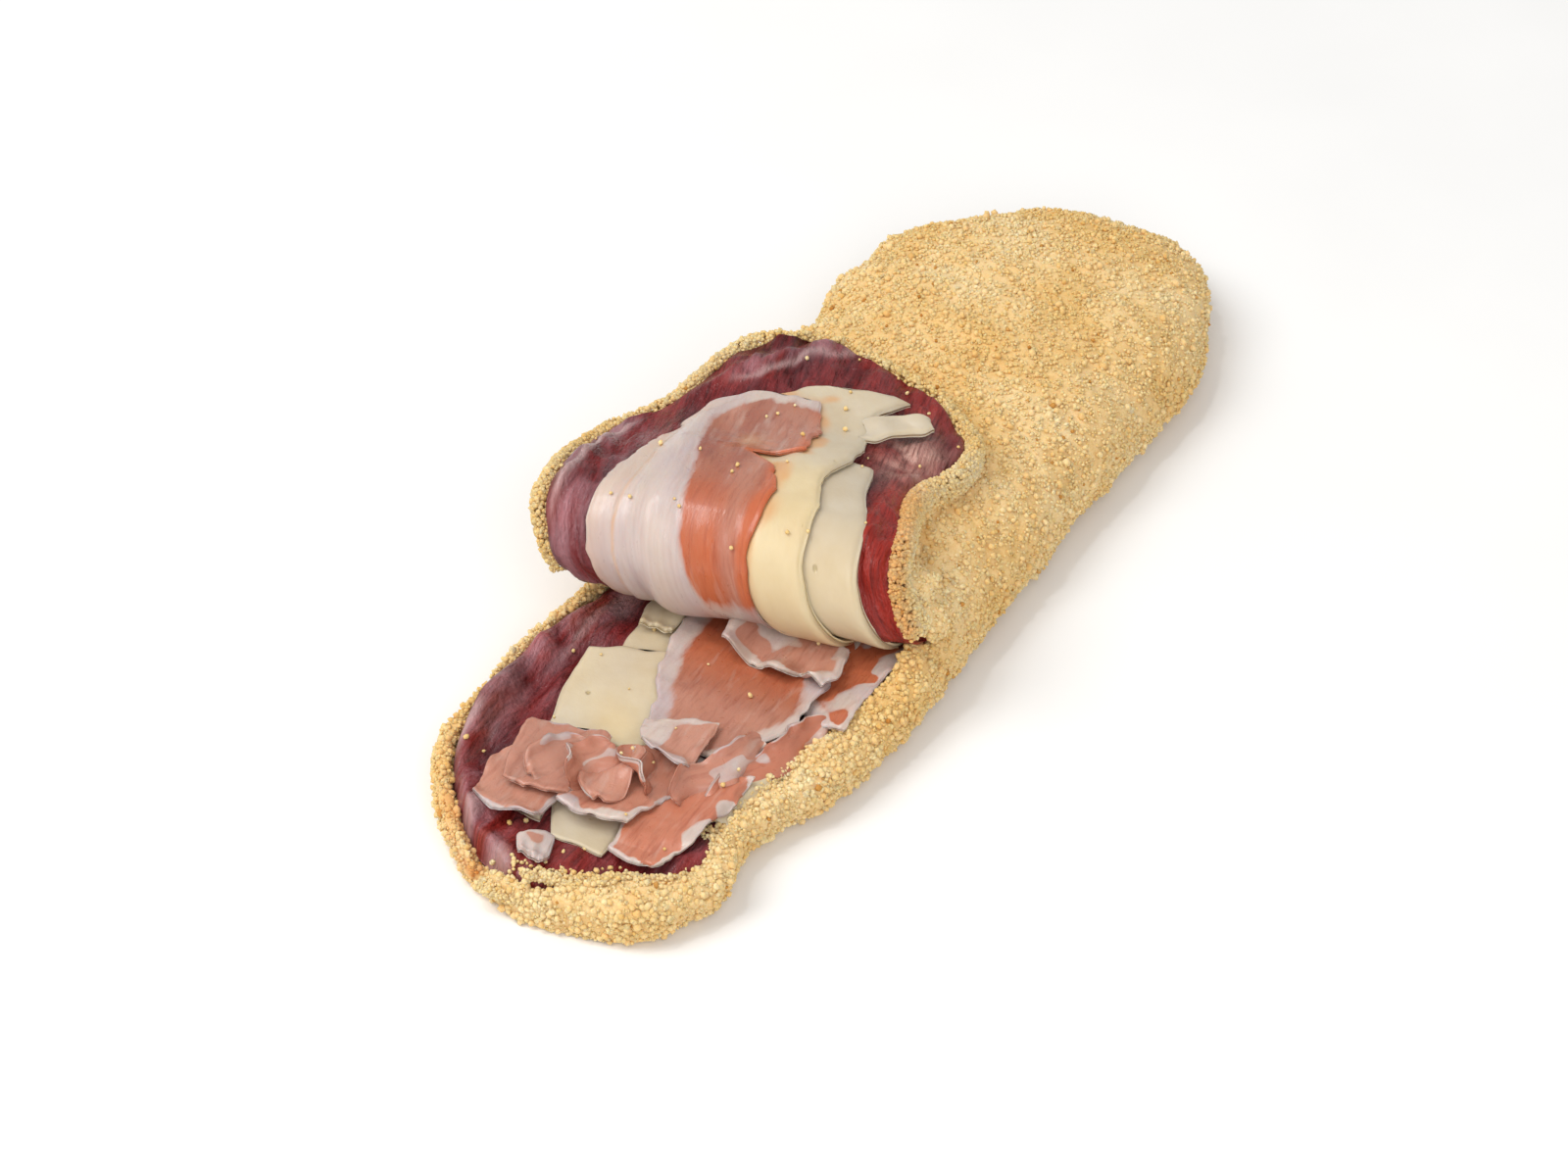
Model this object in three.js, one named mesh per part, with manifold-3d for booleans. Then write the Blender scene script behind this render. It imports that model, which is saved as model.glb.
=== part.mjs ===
// Breaded stuffed veal steak: a raw veal pocket filled with cured ham and cheese slices and rolled in
// breadcrumbs. The far end is closed. At the near end the upper fillet is lifted, curls up and is laid
// back over the closed part, inner face up, so that both fillets show their filling.
// Millimetres, +Z up, +X from the opened end to the closed end, +Y to the left seen from the opened end.

import * as THREE from "three";
import { mergeVertices } from "three/addons/utils/BufferGeometryUtils.js";
import Module from "manifold-3d";

const wasm = await Module();
wasm.setup();

// Driving dimensions
const NEAR_X = -177.5; // tip of the opened end
const FAR_X = 158; // tip of the closed end
const COAT = 3; // breadcrumb coat
const GAP = 0.3; // clearance between pieces that touch
const STACK = 0.6; // clearance between slices that lie on each other
const CLEARANCE = 0.45; // the same across sloping faces, where a piece is cut clear of another
const COAT_CLEARANCE = 0.65; // the same between the coat and what lies in it
const FLOOR_COAT = 2.5; // coat under the lower fillet
const WAIST_Z = 10; // height at which the body is widest
const LOWER_TOP = 11.2; // inner face of the lower fillet
const VEAL = 8; // thickness of a fillet
const CHEESE = 2.2; // thickness of a cheese slice
const HAM = 1.1; // thickness of a ham slice
const MOUTH_X = -57; // line where the upper fillet starts to fold
const MOUTH_Z = 27; // middle of the upper fillet on that line
const FOLD_R = 10.5; // radius of the fold at the middle of the fillet
const FOLD_SKEW = 0.22; // how far the fold line runs back for each millimetre to the right
const FLAP_SHIFT = 12; // sideways shift of the flap, to the left
const FLAP_TURN = THREE.MathUtils.degToRad(12); // turn of the flap about the vertical
const FLAP_REST_Z = 40.5; // middle of the flap where it lies on the closed part
const FLAP_TIP = 87; // length of the flap's meat from the fold to its tip
const FLAP_RIM = 4; // crumbs that show beyond the flap's meat

const TIDY = 0.15; // small steps that a cut leaves and that are smoothed away
const WELD = 0.002; // points closer than this are one

const FOLD_LENGTH = Math.PI * FOLD_R;

// Small helpers

const clamp01 = (value) => Math.min(1, Math.max(0, value));

const mix = (a, b, part) => a + (b - a) * part;

// Smooth step from 0 at `from` to 1 at `to`; `to` may be the smaller one.
function ease(value, from, to) {
  const part = clamp01((value - from) / (to - from));
  return part * part * (3 - 2 * part);
}

// Smooth curve through stations [position, value], level beyond the ends.
function profile(stations) {
  const slopes = stations.map((_, i) => {
    const a = stations[Math.max(0, i - 1)];
    const b = stations[Math.min(stations.length - 1, i + 1)];
    return (b[1] - a[1]) / (b[0] - a[0]);
  });
  return (x) => {
    if (x <= stations[0][0]) return stations[0][1];
    if (x >= stations.at(-1)[0]) return stations.at(-1)[1];
    const i = stations.findIndex((station) => station[0] > x) - 1;
    const [x0, y0] = stations[i];
    const [x1, y1] = stations[i + 1];
    const run = x1 - x0;
    const t = (x - x0) / run;
    const bend0 = (2 * t ** 3 - 3 * t ** 2 + 1) * y0 + (t ** 3 - 2 * t ** 2 + t) * run * slopes[i];
    const bend1 = (3 * t ** 2 - 2 * t ** 3) * y1 + (t ** 3 - t ** 2) * run * slopes[i + 1];
    return bend0 + bend1;
  };
}

// Seeded random numbers from 0 to 1.
function seeded(seed) {
  let state = seed;
  return () => {
    state = (state + 0x6d2b79f5) | 0;
    let mixed = Math.imul(state ^ (state >>> 15), 1 | state);
    mixed = (mixed + Math.imul(mixed ^ (mixed >>> 7), 61 | mixed)) ^ mixed;
    return ((mixed ^ (mixed >>> 14)) >>> 0) / 4294967296;
  };
}

// Soft lumps: a sum of plane waves with seeded directions, about -1 to 1.
function lumps(seed, wavelength) {
  const random = seeded(seed);
  const waves = Array.from({ length: 6 }, () => {
    const angle = random() * Math.PI * 2;
    const pitch = (Math.PI * 2) / (wavelength * mix(0.7, 1.5, random()));
    return [Math.cos(angle) * pitch, Math.sin(angle) * pitch, random() * 7];
  });
  return (x, y) => waves.reduce((sum, [a, b, c]) => sum + Math.sin(a * x + b * y + c), 0) / 3;
}

// Solids

// Turns a closed three.js geometry into a solid with its faces outward; `weld` joins points that close.
function toSolid(geometry, weld = 1e-4) {
  const bare = geometry.clone();
  bare.deleteAttribute("normal");
  bare.deleteAttribute("uv");
  const merged = mergeVertices(bare, weld);
  const points = merged.attributes.position.array;
  const triangles = new Uint32Array(merged.index.array);
  let volume = 0;
  for (let i = 0; i < triangles.length; i += 3) {
    const [a, b, c] = [0, 1, 2].map((k) => new THREE.Vector3().fromArray(points, 3 * triangles[i + k]));
    volume += a.dot(b.cross(c));
  }
  if (volume < 0) {
    for (let i = 0; i < triangles.length; i += 3) {
      [triangles[i + 1], triangles[i + 2]] = [triangles[i + 2], triangles[i + 1]];
    }
  }
  return new wasm.Manifold(new wasm.Mesh({ numProp: 3, vertProperties: points, triVerts: triangles }));
}

// Closes a grid of rings into a solid: rings[i][j] runs round, with a fan on each end.
function loft(rings) {
  const across = rings[0].length;
  const points = rings.flat();
  const centre = (ring) => ring.reduce((sum, p) => sum.add(p), new THREE.Vector3()).divideScalar(across);
  const first = points.push(centre(rings[0])) - 1;
  const last = points.push(centre(rings.at(-1))) - 1;
  const index = [];
  for (let j = 0; j < across; j++) {
    const k = (j + 1) % across;
    for (let i = 0; i + 1 < rings.length; i++) {
      const [a, b] = [i * across + j, i * across + k];
      index.push(a, b, a + across, b, b + across, a + across);
    }
    const end = (rings.length - 1) * across;
    index.push(first, k, j, last, end + j, end + k);
  }
  const geometry = new THREE.BufferGeometry().setFromPoints(points).setIndex(index);
  return toSolid(geometry);
}

// Even steps from 0 to 1.
const steps = (count) => Array.from({ length: count + 1 }, (_, i) => i / count);

// A sheet with thickness: place(u, v, offset) gives a point, low and high its two faces' offsets.
function slab({ place, low, high, us, vs }) {
  const rings = us.map((u) => [
    ...vs.map((v) => place(u, v, low(u, v))),
    ...vs.toReversed().map((v) => place(u, v, high(u, v))),
  ]);
  return slabFromRings(rings, us.length - 1, vs.length - 1);
}

// Joins the rows of a slab; its two ends are closed by strips, which keeps bent ends clean.
function slabFromRings(rings, along, across) {
  const count = rings[0].length;
  const index = [];
  for (let i = 0; i < along; i++) {
    for (let j = 0; j < count; j++) {
      const k = (j + 1) % count;
      const [a, b, c, d] = [i * count + j, i * count + k, (i + 1) * count + k, (i + 1) * count + j];
      if ((i + j) % 2) index.push(a, b, c, a, c, d);
      else index.push(a, b, d, b, c, d);
    }
  }
  for (let j = 0; j < across; j++) {
    const [a, b, c, d] = [j, j + 1, count - 2 - j, count - 1 - j];
    const end = along * count;
    index.push(a, c, b, a, d, c);
    index.push(end + a, end + b, end + c, end + a, end + c, end + d);
  }
  return toSolid(new THREE.BufferGeometry().setFromPoints(rings.flat()).setIndex(index));
}

const joined = (solids) => solids.reduce((sum, solid) => sum.add(solid));

const without = (solid, cutters) => cutters.reduce((rest, cutter) => rest.subtract(cutter), solid);

// The largest body of a solid, without the scraps that a cut leaves.
const largest = (solid) => solid.decompose().sort((a, b) => b.volume() - a.volume())[0];

// Rows that crowd towards both ends, from 0 to 1.
const crowded = (u) => (1 - Math.cos(Math.PI * u)) / 2;

// Plan and height of the breaded body

const leftEdge = profile([
  [NEAR_X, 6], [-175, 18], [-171, 28], [-163, 38], [-152, 47], [-138, 53.5], [-118, 55.5], [-95, 55],
  [-70, 51], [-40, 49.5], [0, 51], [43, 51.5], [62, 50], [80, 53.5], [90, 49.5], [102, 51.5], [113, 49],
  [123, 39.5], [133, 30], [146, 19.5], [153, 8], [156.5, -1], [FAR_X, -8],
]);

const rightEdge = profile([
  [NEAR_X, 4], [-175, -13], [-171, -24], [-163, -30.5], [-153, -35.5], [-146, -36.5], [-139, -33],
  [-128, -33.5], [-116, -37.5], [-104, -42.5], [-88, -46], [-60, -48.5], [0, -49], [45, -50], [78, -52],
  [110, -52], [121, -47.5], [136, -41], [149, -33], [155, -24], [FAR_X, -11],
]);

// Height of the coat along the middle, and of the walls beside the opened end.
const crownZ = profile([
  [NEAR_X, 10], [-171, 13], [-160, 14.5], [-100, 16], [-78, 18], [-60, 24], [-42, 30.5], [-25, 33],
  [40, 34], [90, 33.5], [118, 30.5], [138, 25.5], [150, 19.5], [156, 13.5], [FAR_X, 9.5],
]);

const bodyLumps = lumps(11, 34);
const crustLumps = lumps(23, 13);

// How square the cross-section is: boxy beside the opened end, rounder over the closed part.
const squareness = (x) => mix(3.6, 2.5, ease(x, -80, -30));

// Half width and middle of the plan at x, drawn in by `inset`, which also shortens the plan.
function plan(x, inset, rightInset = inset) {
  const middle = (NEAR_X + FAR_X) / 2;
  const half = (FAR_X - NEAR_X) / 2;
  const outer = middle + ((x - middle) * half) / (half - inset);
  const left = leftEdge(outer) - inset;
  const right = rightEdge(outer) + rightInset;
  return { middle: (left + right) / 2, half: Math.max(0.4, (left - right) / 2) };
}

// Height of the domed top at a point of the plan, drawn in by `inset`.
function domeZ(x, y, inset) {
  const { middle, half } = plan(x, inset);
  const side = Math.min(1, Math.abs(y - middle) / half);
  const power = squareness(x);
  const top = crownZ(x) - inset;
  return WAIST_Z + Math.max(0, top - WAIST_Z) * (1 - side ** power) ** (1 / power);
}

// Dents and bulges seen on the closed part: [x, y, radius, height].
const MARKS = [
  [100, -48, 9, -2.4], [131, 12, 8, -1.8], [96, -22, 14, -1.4], [80, 46, 12, 1.4], [104, 44, 9, 1.5],
];

const marks = (x, y) =>
  MARKS.reduce((sum, [mx, my, r, h]) => sum + h * Math.exp(-((x - mx) ** 2 + (y - my) ** 2) / (r * r)), 0);

// The whole body's outer form as one solid, or its inner room when drawn in by `inset`.
function bodySolid({ inset, from, to, rows, points, floor, rough }) {
  const rings = [];
  for (let i = 0; i <= rows; i++) {
    const x = mix(from, to, crowded(i / rows));
    const { middle, half } = plan(x, inset);
    const power = 2 / squareness(x);
    const top = Math.max(WAIST_Z + 0.6, crownZ(x) - inset);
    const ring = [];
    for (let j = 0; j < points; j++) {
      const angle = (j / points) * Math.PI * 2;
      const [c, s] = [Math.cos(angle), Math.sin(angle)];
      const out = Math.abs(c) ** power * Math.sign(c);
      const up = Math.abs(s) ** power * Math.sign(s);
      const crags = rough * (bodyLumps(x, 50 * out) * 0.9 + crustLumps(x, 60 * angle) * 0.45);
      const y = middle + (half + crags * 0.6) * out;
      const reach = s > 0 ? top - WAIST_Z : WAIST_Z + COAT;
      const lift = s > 0 ? rough * (crags + marks(x, y)) * up : 0;
      ring.push(new THREE.Vector3(x, y, Math.max(floor, WAIST_Z + reach * up + lift)));
    }
    rings.push(ring);
  }
  return loft(rings);
}

// Lower fillet, which lies flat and turns up into a lip beside the opened end

const leftLip = profile([
  [NEAR_X, 7], [-170, 9], [-160, 13], [-142, 16.5], [-95, 17.5], [-75, 15], [-50, 13.2], [90, 13],
  [135, 11.2],
]);
const rightLip = profile([[NEAR_X, 8], [-165, 10.5], [-140, 12.5], [90, 12.5], [135, 11.2]]);
const lowerLumps = lumps(5, 60);

// The plan of the lower fillet: its wall of crumbs is thin on the left and thick on the right.
function lowerPlan(x) {
  const wall = COAT + GAP;
  return plan(x, wall, mix(wall + 2, wall, ease(x, -80, -45)));
}

// Inner face of the lower fillet at a point of the plan.
function lowerTop(x, y) {
  const { middle, half } = lowerPlan(x);
  const side = (y - middle) / half;
  const lip = side > 0 ? leftLip(x) : rightLip(x);
  const rise = ease(Math.abs(side), 0.74, 0.93);
  const round = 2 * ease(Math.abs(side), 0.93, 1);
  const front = ease(x, NEAR_X + 24, NEAR_X + 7);
  const flat = mix(LOWER_TOP, 12, front) + 0.35 * lowerLumps(x, y);
  return mix(flat, lip, rise) - round;
}

const crossSides = [0, 0.035, 0.09, 0.15, 0.38, 0.62, 0.85, 0.91, 0.965, 1];

function lowerFillet(grow) {
  const from = NEAR_X + 3.6;
  const to = FAR_X - COAT - GAP - 1;
  // The plain fillet's own plan also sets the heights of a grown copy, which so holds all of it.
  const flat = (u, v) => {
    const x = mix(from, to, crowded(u));
    const { middle, half } = lowerPlan(x);
    return [x, middle + half * (2 * v - 1)];
  };
  const place = (u, v, z) => {
    const [x, y] = flat(u, v);
    return new THREE.Vector3(x + grow * (2 * crowded(u) - 1), y + grow * (2 * v - 1), z);
  };
  const seat = (v) => FLOOR_COAT + GAP + 2.4 * ease(Math.abs(2 * v - 1), 0.86, 1);
  const top = (u, v) => Math.max(seat(v) + 2, lowerTop(...flat(u, v))) + grow;
  return slab({ place, low: (u, v) => seat(v) - grow, high: top, us: steps(24), vs: crossSides });
}

// The open room above the lower fillet, from which the coat is cut away. Its right and front edges are
// those of the crumbs that roll over the meat there.
const roomLeft = profile([
  [-174, 21], [-171, 25.5], [-162, 35], [-150, 45], [-138, 50.3], [-118, 52], [-95, 51.5], [-70, 47.5],
  [-35, 45],
]);
const roomRight = profile([
  [-174, 13], [-170, -2], [-165, -10], [-160, -17], [-156, -26], [-149, -31], [-137, -27.5], [-115, -28.5],
  [-92, -34.5], [-65, -39], [-35, -40],
]);

function openRoom() {
  const from = -174;
  const to = MOUTH_X + 22;
  const rimNoise = lumps(31, 12);
  const place = (u, v, z) => {
    const x = mix(from, to, crowded(u));
    const left = roomLeft(x) + 0.5 * rimNoise(x, 40);
    const right = roomRight(x) + 1.2 * rimNoise(x, -40) * ease(x, from, from + 12);
    return new THREE.Vector3(x, mix(right, left, v), z);
  };
  const bottom = (u, v) => {
    const at = place(u, v, 0);
    return lowerTop(at.x, at.y) - 0.6;
  };
  return slab({ place, low: bottom, high: () => 90, us: steps(20), vs: steps(6) });
}

// Upper fillet: closed part, fold and flap are one sheet.
// l is the distance along it from the fold's top, positive on the flap; t runs across, positive to the left.

const flapLeft = profile([
  [-FOLD_LENGTH, 44.5], [-15, 45.5], [-3, 47.5], [20, 48.5], [34, 46.5], [42, 43], [46.5, 36.5], [52, 29.5],
  [62, 25], [76, 18.5], [83, 11], [FLAP_TIP, 2.5],
]);

const flapRight = profile([
  [-FOLD_LENGTH, -44.5], [-17, -45.5], [4, -43], [20, -40.5], [33, -41], [42, -45.5], [50, -48.5],
  [57, -48.5], [63, -45], [75, -33], [81, -19], [85.5, -9], [FLAP_TIP, -3],
]);

// Position along the closed part where the sheet is `l` from the fold's top. The fold line's skew fades
// out towards the closed end.
const closedSkew = (l) => FOLD_SKEW * ease(l, -FOLD_LENGTH - 130, -FOLD_LENGTH - 30);
const closedX = (l, t) => MOUTH_X - closedSkew(l) * t - FOLD_LENGTH - l;

// The inverse: l at a point of the closed part.
function closedL(x, y) {
  let l = MOUTH_X - FOLD_LENGTH - x;
  for (let turn = 0; turn < 5; turn++) l = MOUTH_X - FOLD_LENGTH - x - closedSkew(l) * y;
  return l;
}

// 0 in the closed part, 1 from the fold onwards.
const opened = (l) => ease(l, -FOLD_LENGTH - 26, -FOLD_LENGTH - 2);

// Inner face of the upper fillet over the closed part.
function upperBottom(x, y) {
  const top = domeZ(x, y, COAT + GAP);
  return Math.max(top - VEAL, Math.min(top - 1.6, lowerTop(x, y) + GAP + 0.3));
}

// Middle height of the fillet over the closed part.
function closedMiddle(l, t) {
  const x = closedX(l, t);
  const middle = (domeZ(x, t, COAT + GAP) + upperBottom(x, t)) / 2;
  const mouth = MOUTH_Z - 3.5 * (t / 46) ** 2;
  return mix(middle, mouth, opened(l));
}

// Half thickness of the fillet.
function halfVeal(l, t) {
  const x = closedX(l, t);
  const closed = (domeZ(x, t, COAT + GAP) - upperBottom(x, t)) / 2;
  return mix(closed, VEAL / 2, opened(l));
}

const flapLumps = lumps(41, 60);

// Middle height of the flap: lifted near the fold, then down on the closed part, drooping at its sides.
function flapMiddle(l, t) {
  const start = closedMiddle(-FOLD_LENGTH, t) + 2 * FOLD_R;
  const droop = 10 * ease(t, 18, 54) + 4.5 * ease(t, -20, -46);
  const rest = FLAP_REST_Z + 1.2 * flapLumps(l, t) - droop - 2.5 * ease(l, 60, 92);
  return mix(start, rest, ease(l, -4, 46));
}

// A point of the upper sheet; a positive offset is towards its inner face.
function upperPoint(l, t, offset) {
  const hinge = MOUTH_X - FOLD_SKEW * t;
  if (l < -FOLD_LENGTH) {
    return new THREE.Vector3(closedX(l, t), t, closedMiddle(l, t) - offset);
  }
  if (l < 0) {
    const angle = (l + FOLD_LENGTH) / FOLD_R;
    const radius = FOLD_R + offset;
    const centre = closedMiddle(-FOLD_LENGTH, t) + FOLD_R;
    const y = t + (FLAP_SHIFT * (1 - Math.cos(angle))) / 2;
    return new THREE.Vector3(hinge - radius * Math.sin(angle), y, centre - radius * Math.cos(angle));
  }
  const x = hinge + l * Math.cos(FLAP_TURN);
  const y = t + FLAP_SHIFT + l * Math.sin(FLAP_TURN);
  return new THREE.Vector3(x, y, flapMiddle(l, t) + offset);
}

// Edges of the upper sheet across at l, moved out by `outset`.
function upperEdges(l, outset) {
  const x = MOUTH_X - FOLD_LENGTH - l;
  const body = plan(Math.min(x, FAR_X - COAT - 1), COAT + GAP);
  const reach = body.half * 0.965;
  const part = ease(l, -FOLD_LENGTH - 30, -FOLD_LENGTH + 4);
  const left = mix(body.middle + reach, flapLeft(l) + outset, part);
  const right = mix(body.middle - reach, flapRight(l) - outset, part);
  return { left, right };
}

// Rows that all sheets of the upper side share, so that stacked sheets bend alike: wide apart in the
// closed part, close in the fold and on the flap.
const CLOSED_ROWS = Array.from({ length: 11 }, (_, i) => -FOLD_LENGTH - 8 - 19 * i);
const FOLD_ROWS = steps(9).map((part) => -FOLD_LENGTH * part);
const FLAP_ROWS = Array.from({ length: 14 }, (_, i) => 6.3 * (i + 1));
const SHARED_ROWS = [...CLOSED_ROWS, ...FOLD_ROWS, ...FLAP_ROWS].sort((a, b) => a - b);

const rowsBetween = (start, end) => {
  const inner = SHARED_ROWS.filter((l) => l > start + 1.5 && l < end - 1.5);
  return [start, ...inner, end];
};

// A strip of the upper sheet along its rows, with its own edges, grown on all sides by `grow`.
function upperStrip({ rows, edges, low, high, vs, grow = 0 }) {
  const across = (l, v) => {
    const { left, right } = edges(l);
    return mix(right, left, v);
  };
  const isEnd = (l) => l === rows[0] || l === rows.at(-1);
  return slab({
    place: (l, v, offset) => {
      const point = upperPoint(l, across(l, v), offset);
      return point.add(new THREE.Vector3(isEnd(l) ? grow : 0, grow * (2 * v - 1), 0));
    },
    low: (l, v) => low(l, across(l, v), v) - grow,
    high: (l, v) => high(l, across(l, v), v) + grow,
    us: rows,
    vs,
  });
}

const upperEnd = MOUTH_X - FOLD_LENGTH - (FAR_X - COAT - GAP - 9); // l at the closed end
const filletSides = [0, 0.03, 0.08, 0.17, 0.28, 0.39, 0.5, 0.61, 0.72, 0.83, 0.92, 0.97, 1];

// Folds and thick margins of the flap's meat, in its inner face.
function meatRelief(l, t) {
  const leftFold = 2.4 * ease(t, 37.5, 41.5) * ease(t, 50, 44) * ease(l, -24, -10) * ease(l, 36, 26);
  const farFold = 2.2 * Math.exp(-(((t - 24 + 0.9 * (l - 52)) / 5) ** 2)) * ease(l, 46, 56) * ease(t, -8, 0);
  const rightRidge = 1.2 * ease(t, -38, -42) * ease(l, 30, 10);
  return opened(l) * (leftFold + farFold + rightRidge) * ease(l, -30, -14);
}

function upperFillet(grow) {
  const inner = rowsBetween(upperEnd, FLAP_TIP).slice(1, -1);
  return upperStrip({
    rows: [upperEnd, upperEnd + 2.5, upperEnd + 7, ...inner, FLAP_TIP - 0.8, FLAP_TIP],
    edges: (l) => upperEdges(l, 0),
    low: (l, t, v) => -halfVeal(l, t) * (1 - 0.35 * opened(l) * ease(Math.abs(2 * v - 1), 0.8, 1)),
    high: (l, t, v) => {
      const thin = 1 - 0.35 * opened(l) * ease(Math.abs(2 * v - 1), 0.88, 1);
      return halfVeal(l, t) * thin + meatRelief(l, t);
    },
    vs: filletSides,
    grow,
  });
}

// How far crumbs packed between the flap and the closed part below it reach down from the flap's middle.
function packedOffset(l, t) {
  if (l < 0) return 0;
  const { x, y } = upperPoint(l, t, 0);
  const { middle, half } = plan(x, 0);
  const below = closedL(x, y);
  const outer = closedMiddle(below, y) + halfVeal(below, y) + COAT / 2;
  const within = ease(Math.abs(y - middle) / half, 0.97, 0.86);
  return within * (outer - flapMiddle(l, t));
}

// Crumbs packed in the hollow of the fold, a round core along the fold line.
function foldCore() {
  const rings = steps(6).map((u) => {
    const t = mix(-48, 46, u);
    const radius = (FOLD_R - VEAL / 2 + 0.5) * Math.sqrt(1 - (2 * u - 1) ** 6 * 0.6);
    const centre = closedMiddle(-FOLD_LENGTH, t) + FOLD_R;
    return steps(10).slice(1).map((turn) => {
      const angle = turn * Math.PI * 2;
      const x = MOUTH_X - FOLD_SKEW * t + 1.5 + radius * Math.cos(angle);
      return new THREE.Vector3(x, t + FLAP_SHIFT / 2, centre + radius * Math.sin(angle));
    });
  });
  return loft(rings);
}

// The coat on the outer face of the lifted part: it lines the fold and shows as a rim round the flap.
function flapCoat() {
  const rimLumps = lumps(53, 11);
  const end = FLAP_TIP + FLAP_RIM;
  return upperStrip({
    rows: [...rowsBetween(-FOLD_LENGTH - 24, end).slice(0, -1), end - 1, end],
    edges: (l) => {
      const wider = ease(l, -FOLD_LENGTH - 12, -FOLD_LENGTH + 14);
      const { left, right } = upperEdges(l, FLAP_RIM);
      return { left: left + wider * rimLumps(l, 9), right: right - wider * rimLumps(l, -9) };
    },
    low: (l, t, v) => {
      const edge = ease(Math.abs(2 * v - 1), 0.9, 1);
      return Math.min(2.5 * opened(l) * edge - VEAL / 2 - COAT, packedOffset(l, t));
    },
    high: (l, t, v) => {
      const out = Math.abs(2 * v - 1);
      const side = ease(out, 0.86, 0.93) * ease(l, -FOLD_LENGTH, -10);
      const beyond = Math.max(side, ease(l, FLAP_TIP - 3, FLAP_TIP));
      return mix(1.8, 3.4 + 0.9 * rimLumps(l, t + 30), beyond) - 2.4 * ease(out, 0.95, 1);
    },
    vs: [0, 0.04, 0.12, 0.5, 0.88, 0.96, 1],
  });
}

// Slices that lie on the flap, wrap round the fold and run on through the closed part

const LAYER_X = 112; // where the fillings stop short of the closed end
const layerEnd = MOUTH_X - FOLD_LENGTH - LAYER_X; // the same, along the upper sheet

// Slices that lie over another are lifted by its thickness.
const overSliceB = (l, t) => (CHEESE + STACK) * ease(t, -5, -12.5) * ease(l, 36, 30) * ease(l, -88, -74);
const overSliceA = (l, t) => (CHEESE + STACK) * ease(t, 25, 16.5) + overSliceB(l, t);

const slices = {
  upper_cheese_slice: {
    left: profile([[-70, -16], [28, -16.5]]),
    right: profile([[-70, -37], [-21, -38], [3, -35], [29, -30]]),
    start: -70, end: 29, thickness: CHEESE, lift: () => 0, vs: steps(4),
  },
  upper_cheese_layer: {
    left: profile([[-200, 13], [30, 10], [46, 12], [49, 8], [55, 0], [60, -5], [63, -12]]),
    right: profile([
      [-200, -30], [-60, -28], [-26, -26], [-16, -24.5], [10, -22], [27, -25], [48, -26], [58, -28],
      [63, -21],
    ]),
    start: layerEnd, end: 63, thickness: CHEESE, lift: overSliceB, vs: [0, 0.17, 0.35, 0.56, 0.78, 1],
  },
  upper_ham_layer: {
    left: profile([
      [-200, 32], [-60, 36], [-30, 34.5], [-9, 35.5], [4, 33.5], [15, 29.5], [39, 19], [48, 9.5], [52, 2],
    ]),
    right: profile([[-200, -12], [-26, -8], [1, -11], [11, -9], [21, -13.5], [40, -13], [52, -9]]),
    start: layerEnd, end: 52, thickness: HAM, lift: overSliceA, vs: [0, 0.12, 0.28, 0.45, 0.6, 0.78, 1],
  },
};

const sliceWaves = lumps(67, 26);

function upperSlice(name, grow) {
  const { left, right, start, end, thickness, lift, vs } = slices[name];
  const wave = (l, t) => 0.3 * ease(l, -20, 6) * (1 + sliceWaves(l, t));
  const bottom = (l, t) => halfVeal(l, t) + meatRelief(l, t) + STACK + lift(l, t) + wave(l, t);
  return upperStrip({
    rows: rowsBetween(start, end),
    edges: (l) => ({
      left: left(l) + 0.6 * sliceWaves(l, 20),
      right: right(l) + 0.6 * sliceWaves(l, -20),
    }),
    low: bottom,
    high: (l, t) => bottom(l, t) + thickness,
    vs,
    grow,
  });
}

// Slices and strips on the lower fillet

const bedWaves = lumps(71, 24);

// A thin slice on the bed from its corners: near right, near left, far left, far right, [x, y].
// `level` is its height over the fillet, `tilt` lifts it towards the far side, `curl` lifts its near edge.
function bedSlice({ corners, level, thickness, curl = 0, tilt = 0, wave = 0.4, us = 7, vs = 5 }) {
  return (grow) => {
    const [a, b, c, d] = corners;
    const centre = [0, 1].map((k) => (a[k] + b[k] + c[k] + d[k]) / 4);
    const size = Math.hypot(a[0] - c[0], a[1] - c[1]) / 2;
    const place = (u, v, offset) => {
      const [x, y] = [0, 1].map((k) => {
        const flat = mix(mix(a[k], b[k], v), mix(d[k], c[k], v), u);
        return flat + ((flat - centre[k]) * grow) / size;
      });
      const edge = Math.min(u, 1 - u, v, 1 - v);
      const ragged = 0.9 * bedWaves(2 * x, 2 * y) * ease(edge, 0.12, 0);
      const rise = curl * ease(u, 0.35, 0) ** 1.5 + tilt * u + wave * (1 + bedWaves(x, y));
      const z = lowerTop(x, y) + STACK + level + rise + offset;
      return new THREE.Vector3(x + ragged, y + ragged * 0.7, z);
    };
    return slab({ place, low: () => -grow, high: () => thickness + grow, us: steps(us), vs: steps(vs) });
  };
}

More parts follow.
